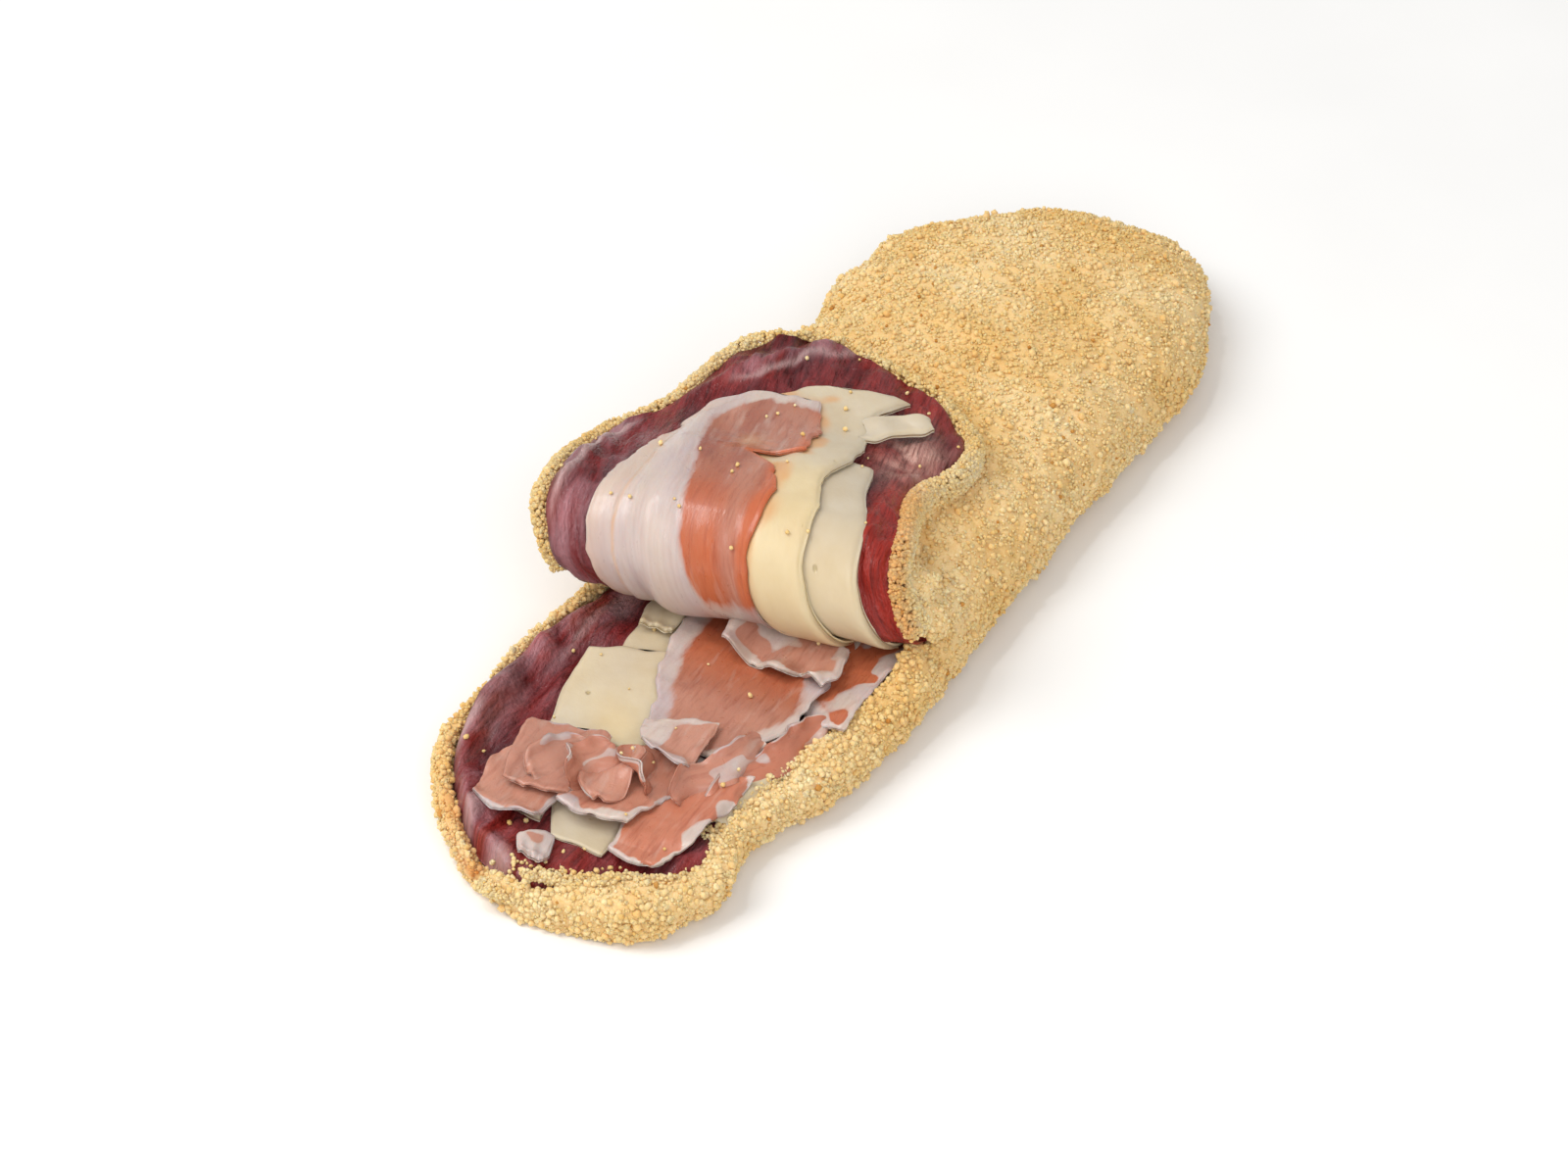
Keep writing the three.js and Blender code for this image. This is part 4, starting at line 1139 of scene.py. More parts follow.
@dataclass(frozen=True)
class GrainKind:
    """One size class of crumb grains: irregular little solids, joined into one piece."""

    name: str
    seed: int
    count: int
    size: tuple[float, float]
    corners: int
    bury: tuple[float, float] = (0.12, 0.36)
    reach: float = FAR_X + 10  # how far back along the steak they lie

    def template(self) -> tuple[Array, Array]:
        """Unit solid: a box of 8 corners or an icosahedron of 12.

        Returns:
            Its points and its triangles.
        """
        if self.corners == 8:
            box = np.array(list(product((-1.0, 1.0), repeat=3))) / math.sqrt(3)
            quads = np.array([
                [0, 1, 3, 2], [4, 6, 7, 5], [0, 4, 5, 1], [2, 3, 7, 6], [0, 2, 6, 4], [1, 5, 7, 3],
            ])
            return box, np.concatenate([quads[:, :3], quads[:, [0, 2, 3]]])
        g = (1 + math.sqrt(5)) / 2
        base = np.array([[-1, g, 0], [1, g, 0], [-1, -g, 0], [1, -g, 0], [0, -1, g], [0, 1, g], [0, -1, -g],
                         [0, 1, -g], [g, 0, -1], [g, 0, 1], [-g, 0, -1], [-g, 0, 1]]) / math.hypot(1, g)
        gaps = np.linalg.norm(base[:, None] - base[None], axis=2)
        near = np.abs(gaps - np.partition(gaps[0], 1)[1]) < 1e-6
        threes = combinations(range(len(base)), 3)
        faces = np.array([three for three in threes if near[np.ix_(three, three)].sum() == 6])
        a, b, c = base[faces].transpose(1, 0, 2)
        inward = np.einsum("ij,ij->i", a, np.cross(b - a, c - a)) < 0
        faces[inward] = faces[inward, ::-1]
        return base, faces

    def scatter(self, points: Array, triangles: Array) -> Piece:
        """Lays the grains on a surface.

        Args:
            points: the surface's points.
            triangles: its triangles.

        Returns:
            One object of all the grains.
        """
        rng = np.random.default_rng(self.seed)
        a, b, c = points[triangles].transpose(1, 0, 2)
        cross = np.cross(b - a, c - a)
        area = np.linalg.norm(cross, axis=1)
        normal = cross / np.maximum(area, 1e-9)[:, None]
        height = (a + b + c)[:, 2] / 3
        weight = area * np.where((normal[:, 2] < -0.5) & (height < 3), 0, 1) * (a[:, 0] < self.reach)
        chosen = rng.choice(len(triangles), self.count, p=weight / weight.sum())
        u, v = rng.random((2, self.count))
        u, v = np.where(u + v > 1, 1 - u, u), np.where(u + v > 1, 1 - v, v)
        size = rng.uniform(*self.size, self.count) / 2
        centre = a[chosen] + (b - a)[chosen] * u[:, None] + (c - a)[chosen] * v[:, None]
        centre += normal[chosen] * (size * (1 - rng.uniform(*self.bury, self.count) * 3))[:, None]
        return self.grow(centre, size, rng)

    def grow(self, centre: Array, size: Array, rng: np.random.Generator) -> Piece:
        """Makes the grains.

        Args:
            centre: their centres in mm.
            size: their radii in mm.
            rng: draws their shapes and shades.

        Returns:
            One object of all the grains.
        """
        centre[:, 2] = np.maximum(centre[:, 2], size)
        base, faces = self.template()
        jag = rng.uniform(0.75, 1.18, (self.count, len(base), 1))
        squash = rng.uniform(0.75, 1.2, (self.count, 1, 3))
        grains = base[None] * jag * squash * size[:, None, None]
        grains = np.einsum("nij,nkj->nki", self.turns(rng), grains) + centre[:, None]
        index = faces[None] + (np.arange(self.count) * len(base))[:, None, None]
        tint = np.clip(rng.normal(0.56, 0.15, self.count) - 0.6 * (rng.random(self.count) < 0.012), 0, 1)
        flat = grains.reshape(-1, 3)
        marks = {"tint": tint.repeat(len(base)), "soaked": JUICE(centre).repeat(len(base)), "spot": flat}
        return mesh_piece(self.name, flat, [index.reshape(-1, 3)], marks)

    def turns(self, rng: np.random.Generator) -> Array:
        """Random turns.

        Args:
            rng: draws them.

        Returns:
            One rotation matrix for each grain.
        """
        q = rng.normal(size=(self.count, 4))
        w, x, y, z = (q / np.linalg.norm(q, axis=1)[:, None]).T
        return np.stack([
            np.stack([1 - 2 * (y * y + z * z), 2 * (x * y - z * w), 2 * (x * z + y * w)], 1),
            np.stack([2 * (x * y + z * w), 1 - 2 * (x * x + z * z), 2 * (y * z - x * w)], 1),
            np.stack([2 * (x * z - y * w), 2 * (y * z + x * w), 1 - 2 * (x * x + y * y)], 1),
        ], 1)


# The veal


@dataclass
class Fillets:
    """The two veal fillets, with the relief of their muscle."""

    noise: Grain = field(default_factory=lambda: Grain(19))
    step: float = 0.95
    # Silverskin on the flap's left side
    skin: Profile = Profile((-14, 43), (-9, 44), (9, 43), (28, 42), (40, 38))
    # Swellings of the opened end's sides, with the hollow between them and the fillings
    lobes = (
        (-155, 36, 8, 3.0), (-141, 43, 7, 2.0), (-127, 46, 7, 1.4), (-142, 35, 5, -1.6), (-110, 45, 8, 1.3),
        (-97, 48, 4, 3.0), (-112, 38, 6, -1.2), (-166, 20, 6, 1.4), (-150, -24, 6, 1.2),
    )

    def muscle(self, spot: Array) -> Array:
        """Relief of the meat in mm; spot runs along the fibres in x."""
        return 1.1 * self.noise(spot, (16, 7, 9)) + 0.5 * self.noise(spot, (9, 2.6, 3))

    def lower(self, dresser: Dresser) -> Piece:
        """Builds the lower fillet.

        Args:
            dresser: finishes it.

        Returns:
            The piece.
        """
        start, stop = NEAR_X + 3.6, FAR_X - COAT - GAP - 1
        x = np.concatenate([np.arange(start, -36, self.step), np.linspace(-36, stop, 40)])[:, None]
        v = np.linspace(0, 1, 105)[None]
        few = np.linspace(0, 104, 15).astype(int)
        middle, half = LOWER.plan(x)
        y = middle + half * (2 * v - 1)
        spot = stacked(x, y, 0.0)
        on_left = v > 0.5
        edge = half * (1 - np.abs(2 * v - 1))
        seat = FLOOR_COAT + GAP + 2.4 * ease(np.abs(2 * v - 1), 0.86, 1)
        soft = rounded(np.minimum(edge, x - start + 0.01), 2.5)
        shown = np.clip(ease(edge, 26, 14) * np.where(on_left, 1.5, 1) + ease(x, -150, -162), 0, 1.5)
        side = ease(edge, 24, 8) * ease(edge, 0.5, 3) * np.where(on_left, 1.0, 0.4)
        folds = 2.1 * self.noise(spot + 120, (14, 6, 6)) + 1.3 * self.noise(spot + 10, (6, 3, 3))
        relief = shown * self.muscle(spot) + mounds(x, y, self.lobes) * ease(edge, 0.5, 4) + side * folds
        behind = ease(x, start + 1, start + 8)  # the front end stays low, under the spilled crumbs
        shape = LOWER.top(x, y) + behind * relief - 0.8 * (1 - behind)
        high = np.maximum(seat + 1, mix(seat + 1, shape, soft))
        lip = ease(edge, 14, 4) * np.where(on_left, 1, 0)
        wet = 0.6 * ease(x, -150, -168) + 0.5 * ease(self.noise(spot, 9), 0.2, 0.7)
        marks = {
            "fresh": np.clip(wet + ease(np.hypot(x + 97, y - 48), 7, 3), 0, 1),
            "dull": 0.15 * lip * ease(self.noise(spot + 70, 12), 0, 0.5),
            "film": np.clip(lip * (1.0 + 0.7 * self.noise(spot + 90, (12, 5, 3))) + 0.3, 0, 1),
            "sinew": 0.45 * lip * ease(self.noise(spot, (22, 3, 4)), 0.2, 0.6),
            "spot": spot,
        }
        piece = slab_piece("lower_veal", stacked(x, y, high), stacked(x, y, seat)[:, few], marks)
        return dresser.dress(piece, Finish.VEAL, "lower_fillet")

    def upper(self, dresser: Dresser) -> Piece:
        """Builds the upper fillet with its fold and flap.

        Args:
            dresser: finishes it.

        Returns:
            The piece.
        """
        stop = MOUTH_X - FOLD_LENGTH - (FAR_X - COAT - GAP - 9)
        closed, opened = np.linspace(stop, -50, 30)[:-1], np.arange(-50, FLAP_TIP, self.step)
        l = np.concatenate([closed, opened, [FLAP_TIP]])[:, None]
        v = np.linspace(0, 1, 101)[None]
        few = np.linspace(0, 100, 15).astype(int)
        left, right = UPPER.edges(l)
        t = mix(right, left, v)
        spot = stacked(l, t, 0.0)
        half = UPPER.half_veal(l, t)
        soft = rounded(np.minimum(inset(left - right, v), FLAP_TIP - l + 0.01), 3.0)
        ends = mix(0.45, 1, soft)
        high = half * ends + UPPER.relief(l, t) + self.flap_relief(l, t, soft)
        low = -half[:, few] * ends[:, few] + 1.8 * ease(l, -60, -75)
        marks = self.flap_marks(l, t) | {"spot": spot + 200}
        piece = slab_piece("upper_veal", UPPER.point(l, t, high), UPPER.point(l, t[:, few], low), marks)
        return dresser.dress(piece, Finish.VEAL, "upper_fillet")

    def flap_relief(self, l: Array, t: Array, soft: Array) -> Array:
        """Muscle, lumps of the margins and the seam of the silverskin on the flap.

        Args:
            l: along the sheet.
            t: across it.
            soft: 0 at the sheet's edge, 1 away from it.

        Returns:
            Their height.
        """
        spot = stacked(l, t, 0.0)
        rim = 0.6 + 0.9 * ease(np.abs(t), 30, 38) + 0.5 * ease(l, 55, 62)
        muscle = ease(l, -45, -30) * rim * self.muscle(spot + 200)
        lumps = 1.6 * self.noise(spot + 510, (8, 6, 3)) + 0.6 * self.noise(spot + 60, (3, 2.4, 3))
        folds = 1.3 * self.noise(spot + 330, (7, 3.4, 3)) + 0.7 * self.noise(spot + 30, (3.2, 1.8, 3))
        margin = np.maximum(ease(np.abs(t), 31, 38), ease(l, 57, 62))
        seam = bell(t - self.skin(l), 0.8) * ease(l, -20, -8) * ease(l, 46, 36)
        right = ease(t, -31, -38) * ease(l, 30, 16)
        return soft * (UPPER.opened(l) * (muscle + margin * folds) + right * lumps + 0.8 * seam)

    def flap_marks(self, l: Array, t: Array) -> dict[str, Array]:
        """Where the flap's meat is fresh red, dull, filmy or sinewy.

        Args:
            l: along the sheet.
            t: across it.

        Returns:
            The marks by name.
        """
        spot = stacked(l, t, 0.0)
        far = ease(l, 54, 62)
        red = ease(t, -30, -38) * ease(l, 36, 22) + 0.5 * far * ease(t, -5, -30)
        grey = bell(l - 43, 12) * bell(t + 37, 8)
        film = ease(t, 28, 40) * (0.7 + 0.6 * self.noise(spot + 90, (12, 5, 3)))
        skin = bell(t - self.skin(l), 0.9) * ease(l, -14, 0) * ease(l, 44, 34)
        fold = UPPER.far_fold(l, t)
        pale_fold = bell(fold + 4 + 2.5 * self.noise(spot + 15, 8), 1.4) * far
        return {
            "fresh": np.clip(red + 0.35 * ease(self.noise(spot, 8), 0.25, 0.7), 0, 1),
            "dull": np.clip(0.9 * grey * (0.75 + 0.6 * self.noise(spot, 3)), 0, 1),
            "film": np.clip(film + 0.7 * bell(fold, 5) * far + 0.12, 0, 1),
            "sinew": np.clip(0.8 * skin + 0.45 * pale_fold, 0, 1),
        }


# Slices that lie on the flap and run round the fold into the closed part


@dataclass
class FlapSlice(Slab):
    """A slice on the upper fillet's inner face."""

    left: Profile
    right: Profile
    start: float
    end: float
    thickness: float
    lift: Callable[[Array, Array], Array | float]
    ragged: float
    looks: Callable[[Array, Array], dict[str, Array]]
    crease: Callable[[Array, Array], Array] | None = None
    noise: Grain = field(default_factory=lambda: Grain(29))
    waves: Lumps = field(default_factory=lambda: Lumps(67, 26))
    step: float = 0.85

    def faces(self) -> tuple[Array, Array, dict[str, Array | float]]:
        """Works out the slice.

        Returns:
            Grids of its upper and its lower face, and its marks.
        """
        shown = max(self.start, -50)
        coarse = np.linspace(self.start, shown, 24)[:-1] if self.start < shown else []
        l = np.concatenate([coarse, np.arange(shown, self.end, self.step), [self.end]])[:, None]
        left, right = self.edge(self.left, l, 20), self.edge(self.right, l, -20)
        if self.ragged > 0.5:
            left = left + 1.3 * self.noise(stacked(l, 0.0, 7.0), 2.6) * ease(l, 4, 20)
            left = left + (2.8 * bell(l - 34, 2.3) + 1.4 * bell(l - 26, 2.6))
        v = np.linspace(0, 1, int(np.max(left - right) / 0.9) + 2)[None]
        t = mix(right, left, v)
        spot = stacked(l, t, 0.0)
        edge = np.minimum(inset(left - right, v), self.end - l + 0.01)
        wave = 0.3 * ease(l, -20, 6) * (1 + self.waves(l, t))
        bottom = UPPER.half_veal(l, t) + UPPER.relief(l, t) + STACK + self.lift(l, t) + wave
        swell = self.crease(l, t) if self.crease else 0.0
        body = self.thickness * mix(0.35, 1, rounded(edge, self.thickness * 1.1))
        top = bottom + swell + body + 0.15 * self.noise(spot, (9, 6, 3))
        tear = self.ragged * 2.6 * self.noise(spot + 60, (40, 3.0, 3)) * ease(l, self.end - 9, self.end)
        high, low = UPPER.point(l + tear, t, top), UPPER.point(l + tear, t, bottom + swell)
        return high, low, self.looks(l, t) | {"spot": spot}

    def edge(self, side: Profile, l: Array, lane: float) -> Array:
        """One side edge, with the small raggedness of the cut.

        Args:
            side: the even edge.
            l: along the sheet.
            lane: which part of the noise makes it ragged.

        Returns:
            The edge's place across the sheet.
        """
        where = stacked(l, lane, 0.0)
        rough = self.noise(where, 5) + 0.5 * self.noise(where, 1.8)
        return side(l) + 0.6 * self.waves(l, lane) + self.ragged * rough


@dataclass
class TornStrip(Slab):
    """The torn strip of cheese beside the large slice."""

    length: float = 18.0
    noise: Grain = field(default_factory=lambda: Grain(31))

    def faces(self) -> tuple[Array, Array, dict[str, Array | float]]:
        """Works out the slice.

        Returns:
            Grids of its upper and its lower face, and its marks.
        """
        u, v = np.linspace(0, 1, 48)[:, None], np.linspace(0, 1, 24)[None]
        spot = stacked(self.length * u, self.length / 2 * v, 0.0)
        width = mix(9.5, 5.0, ease(u, 0, 0.8)) * np.sqrt(1 - 0.85 * ease(u, 0.75, 1.0) ** 2)
        side = (v - 0.5) * width + 1.1 * self.noise(spot, 3.5)
        l = mix(43.5, 55, u) + 1.6 * np.sin(math.pi * u) + 0.82 * side
        t = mix(-21, -39.5, u) + 0.57 * side
        rise = 0.2 + 1.5 * ease(u, 0.05, 0.4) + 1.5 * ease(u, 0.5, 1) + 2.4 * (v - 0.5) ** 2
        rise = np.maximum(rise + 0.9 * self.noise(spot, 5), 0.1)
        seat = UPPER.half_veal(l, t) + UPPER.relief(l, t) + GAP + rise
        edge = np.minimum(inset(width, v), self.length * (1 - u) + 0.01)
        body = mix(1.7, 2.4, u) * mix(0.4, 1, rounded(edge, 1.4))
        marks = {"deep": 0.2 * ease(edge, 1.2, 0.2), "spot": spot + 300}
        return UPPER.point(l, t, seat + body), UPPER.point(l, t, seat), marks


class FlapStack:
    """The cheese and ham on the flap, from the meat up."""

    ham_right = Profile(
        (-200, -12), (-26, -8), (1, -11), (9, -9.5), (14, -8), (17.5, -3), (19.2, 0), (20.2, -3), (21, -12.5),
        (24, -13.5), (40, -13), (52, -9),
    )
    lean_left = Profile((-26, 2), (-19, 6), (-3, 10), (28, 14.5), (40, 10), (50, 0))
    fold_line = Profile((-30, 29), (-10, 27.5), (0, 26), (27, 21.5), (45, 10))
    tear = (24, 2)  # where the tear in the ham's edge ends
    noise = Grain(37)

    @staticmethod
    def over_narrow(l: Array, t: Array) -> Array:
        """Lift where a slice lies over the narrow cheese slice."""
        return (CHEESE + STACK) * ease(t, -5, -12.5) * ease(l, 42, 27) * ease(l, -88, -74)

    def over_both(self, l: Array, t: Array) -> Array:
        """Lift where the ham lies over the cheese slices."""
        return (CHEESE + STACK) * ease(t, 25, 16.5) + self.over_narrow(l, t)

    def ham_looks(self, l: Array, t: Array) -> dict[str, Array]:
        """The ham: a broad fat band with painted crease shade, lean turning amber at the fold and the tear.

        Args:
            l: along the sheet.
            t: across it.

        Returns:
            The marks by name.
        """
        spot = stacked(l, t, 0.0)
        ends = np.maximum(ease(l, 42, 52), ease(l, -16, -24))
        torn = ease(t - self.ham_right(l), 4.5, 0.3)
        # Painted shade: a dark line on the crease and a darker band on the lower side of its step.
        beside = t - self.fold_line(l)
        line = 0.75 * bell(beside, 0.45) + ease(beside, 0, 3) * (0.3 + 0.3 * self.noise(spot, (18, 6, 3)))
        cloud = 1 + 1.1 * self.noise(spot + 80, (17, 4.5, 3))
        star = mounds(l, t, [(*self.tear, 3.2, 0.5)])
        amber = 0.6 * torn * ease(l, 30, 18) + 0.3 * torn + 0.5 * ease(l, 14, -12) * cloud
        return {
            "fat": np.maximum(ease(t - self.lean_left(l), -2.6, 2.6), ends),
            "amber": np.clip(amber, 0, 0.75),
            "pale": np.clip(0.2 * ease(l, 6, 26) + 0.05 + 0.7 * (1 - cloud), 0, 1),
            "line": np.clip(line * ease(l, 46, 36) + star, 0, 1),
        }

    def ham_crease(self, l: Array, t: Array) -> Array:
        """Steps and creases of the ham: a fold along the fat, a groove beside the lean, rays round the tear.

        Args:
            l: along the sheet.
            t: across it.

        Returns:
            Their height.
        """
        spot = stacked(l, t, 0.0)
        step = 0.9 * ease(t - self.fold_line(l), 0.4, -0.4) * ease(t, 6, 18)
        groove = -0.3 * bell(t - self.lean_left(l) - 1.3, 0.5) * ease(l, 26, 18)
        along, across = l - self.tear[0], t - self.tear[1]
        away, angle = np.hypot(along, across), np.arctan2(across, along)
        rays = 0.35 * np.sin(9 * angle + 2.5 * self.noise(spot, 9)) * np.exp(-away / 7) * ease(away, 0.5, 3)
        wrinkles = 0.45 * self.noise(spot, (26, 8, 3)) + 0.1 * self.noise(spot, (8, 4, 3))
        return step + groove + rays + wrinkles * ease(l, -45, -30)

    def wide_looks(self, l: Array, t: Array) -> dict[str, Array]:
        """The large cheese slice: warmer towards the fold, stained where the ham's edge lies on it.

        Args:
            l: along the sheet.
            t: across it.

        Returns:
            The marks by name.
        """
        away = np.maximum(self.ham_right(l) - t, l - 52) - 2.5 * self.noise(stacked(l, t, 0.0) + 40, 4)
        return {"deep": 0.9 * ease(l, 26, 4) + 0.15, "stain": 0.75 * ease(away, 4.5, 0.3) * ease(l, -20, -8)}

    @staticmethod
    def narrow_looks(l: Array, t: Array) -> dict[str, Array]:
        """The narrow cheese slice is greyer, warmer only at the fold."""
        return {"deep": 0.6 * ease(l, 2, -14) + 0 * t}

    def build(self, dresser: Dresser) -> list[Piece]:
        """Builds the slices.

        Args:
            dresser: finishes them.

        Returns:
            The pieces.
        """
        end = MOUTH_X - FOLD_LENGTH - LAYER_X
        pieces = [
            FlapSlice("narrow_cheese", "upper_cheese_slice", Finish.CHEESE, Profile((-70, -16), (28, -16.5)),
                      Profile((-70, -37), (-21, -38), (3, -35), (29, -30)), -70, 29, CHEESE,
                      lambda l, t: 0.0, 0.15, self.narrow_looks),
            FlapSlice("wide_cheese", "upper_cheese_layer", Finish.CHEESE,
                      Profile((-200, 13), (30, 10), (46, 12), (49, 8), (55, 0), (60, -6), (62.5, -20),
                              (64, -30)),
                      Profile((-200, -30), (-60, -28), (-26, -26), (-16, -24.5), (10, -22), (27, -25),
                              (44, -25), (49, -23.5), (54, -24.5), (60, -29), (64, -32)),
                      end, 64, CHEESE, self.over_narrow, 0.35, self.wide_looks),
            FlapSlice("flap_ham", "upper_ham_layer", Finish.HAM,
                      Profile((-200, 32), (-60, 36), (-30, 34.5), (-9, 35.5), (4, 33.5), (15, 29.5), (39, 19),
                              (48, 9.5), (52, 2)),
                      self.ham_right, end, 52, HAM, self.over_both, 0.7, self.ham_looks, self.ham_crease),
            TornStrip("torn_cheese", "torn_cheese_strip", Finish.CHEESE),
        ]
        return [piece.build(dresser) for piece in pieces]


# Slices, layers and ribbons on the lower fillet


BED_WAVES = Lumps(71, 24)
BED_NOISE = Grain(43)


@dataclass
class BedSlice(Slab):
    """A thin slice on the bed, from its corners: near right, near left, far left, far right."""

    corners: tuple[tuple[float, float], ...]
    level: float
    thickness: float = HAM
    curl: float = 0.0
    tilt: float = 0.0
    wave: float = 0.4
    fat: tuple[float, float, float, float] = (0, 0, 0, 0)  # its width at the near, far, right and left edge
    amber: float = 0.0
    pale: float = 0.3
    warm: float = 0.35  # how yellow a cheese is
    frill: float = 0.0  # height of the waves of a loose near edge
    hook: float = 0.0  # rise of its left end
    lane: float = 0.0  # its own part of the noise
    step: float = 0.5
    hollow = (-113, 14, math.sqrt(60), 0.7)  # where the cheese on the bed is yellowest

    def faces(self) -> tuple[Array, Array, dict[str, Array | float]]:
        """Works out the slice.

        Returns:
            Grids of its upper and its lower face, and its marks.
        """
        soft = self.finish is not Finish.CHEESE
        a, b, c, d = np.array(self.corners, float)
        long = (np.linalg.norm(a - d) + np.linalg.norm(b - c)) / 2
        wide = (np.linalg.norm(a - b) + np.linalg.norm(d - c)) / 2
        u = np.linspace(0, 1, int(long / self.step) + 4)[:, None]
        v = np.linspace(0, 1, int(wide / self.step) + 4)[None]
        corner = 0.45 if soft else 0.1
        along = 0.5 + (u - 0.5) * np.sqrt(1 - corner * 2 * (v - 0.5) ** 2)
        across = 0.5 + (v - 0.5) * np.sqrt(1 - corner * 2 * (u - 0.5) ** 2)
        flat = mix(mix(a, b, across[..., None]), mix(d, c, across[..., None]), along[..., None])
        x, y = flat[..., 0], flat[..., 1]
        spot = stacked(x, y, self.lane)
        to_edge = np.stack(np.broadcast_arrays(u * long, (1 - u) * long, v * wide, (1 - v) * wide))
        rim = ease(np.minimum(np.minimum(u, 1 - u), np.minimum(v, 1 - v)), 0.15, 0)
        rough = 0.8 * BED_NOISE(spot, 4) + 0.5 * BED_NOISE(spot, 1.6) if soft else 0.15 * BED_NOISE(spot, 2)
        ragged = 0.9 * BED_WAVES(2 * x, 2 * y) * rim + rough * rim
        wave = self.frill * ease(u, 0.8, 0) * (np.sin(15 * v + 1 + 1.5 * BED_NOISE(spot, 9)) + 0.3)
        rise = self.curl * ease(u, 0.35, 0) ** 1.5 + self.tilt * u + self.wave * (1 + BED_WAVES(x, y)) + wave
        rise = rise + self.hook * ease(v, 0.7, 1)
        if soft:
            rise = rise + 0.5 * BED_NOISE(spot, (9, 6, 3)) + 0.12 * BED_NOISE(spot, 2.5)
            rise = rise + 1.2 * rim * BED_NOISE(spot + 90, 4.5)
        base = LOWER.top(x, y) + STACK + self.level + np.maximum(rise, -0.3)
        body = self.thickness * mix(0.3, 1, rounded(to_edge.min(axis=0) + 0.01, self.thickness * 1.1))
        place = x + ragged - 0.5 * wave, y + ragged * 0.7
        return stacked(*place, base + body), stacked(*place, base), self.looks(spot, to_edge)

    def looks(self, spot: Array, to_edge: Array) -> dict[str, Array | float]:
        """Fat along the edges of a ham, and how warm a cheese is.

        Args:
            spot: places on the slice.
            to_edge: how far they are from the near, far, right and left edge.

        Returns:
            The marks by name.
        """
        widths = np.array(self.fat)[:, None, None] * np.clip(1 + 1.5 * BED_NOISE(spot, 4.5), 0, 2)
        fat = np.where(widths > 0.2, ease(to_edge / np.maximum(widths, 0.1), 1.4, 0.6), 0).max(axis=0)
        warm = self.warm + mounds(spot[..., 0], spot[..., 1], [self.hollow]) + 0.3 * BED_NOISE(spot, 12)
        deep = np.clip(warm, 0, 1)
        return {"fat": 0.85 * fat, "amber": self.amber, "pale": self.pale, "deep": deep, "spot": spot}


@dataclass
class BedLayer(Slab):
    """A layer that runs from the bed through the closed part."""

    left: Profile
    right: Profile
    start: float
    level: Callable[[Array], Array | float]
    thickness: float
    fat: Callable[[Array, Array], Array | float] = lambda x, y: 0.0
    curled: float = 0.0
    step: float = 0.8

    def faces(self) -> tuple[Array, Array, dict[str, Array | float]]:
        """Works out the layer.

        Returns:
            Grids of its upper and its lower face, and its marks.
        """
        soft = self.finish is Finish.HAM
        x = np.concatenate([np.arange(self.start, -36, self.step), np.linspace(-36, LAYER_X, 26)])[:, None]
        v = np.linspace(0, 1, 70)[None]
        left, right = self.left(x), self.right(x)
        rough = (0.7 if soft else 0.1) * BED_NOISE(stacked(x, 30 * v, 0.0), 3)
        y = mix(right, left, v) + 0.5 * BED_WAVES(2 * x, 40 * v) + rough * ease(np.abs(2 * v - 1), 0.7, 1)
        spot = stacked(x, y, 60.0)
        edge = np.minimum(inset(left - right, v), x - self.start + 0.01)
        lift = self.curled * ease(edge, 5, 0) * (1 + 0.8 * BED_NOISE(spot, 4)) * ease(x, -40, -60)
        base = LOWER.top(x, y) + STACK + self.level(x) + lift
        body = self.thickness * mix(0.3, 1, rounded(edge, self.thickness * 1.1))
        wave = 0.35 * BED_NOISE(spot, 8) + (0.15 * BED_NOISE(spot, 3) if soft else 0.0)
        marks = {"fat": self.fat(x, y), "amber": 0.45 * ease(x, -95, -75), "pale": 0.6 * ease(x, -84, -100),
                 "deep": 0.4, "spot": spot}
        return stacked(x, y, base + body + wave), stacked(x, y, base + wave), marks


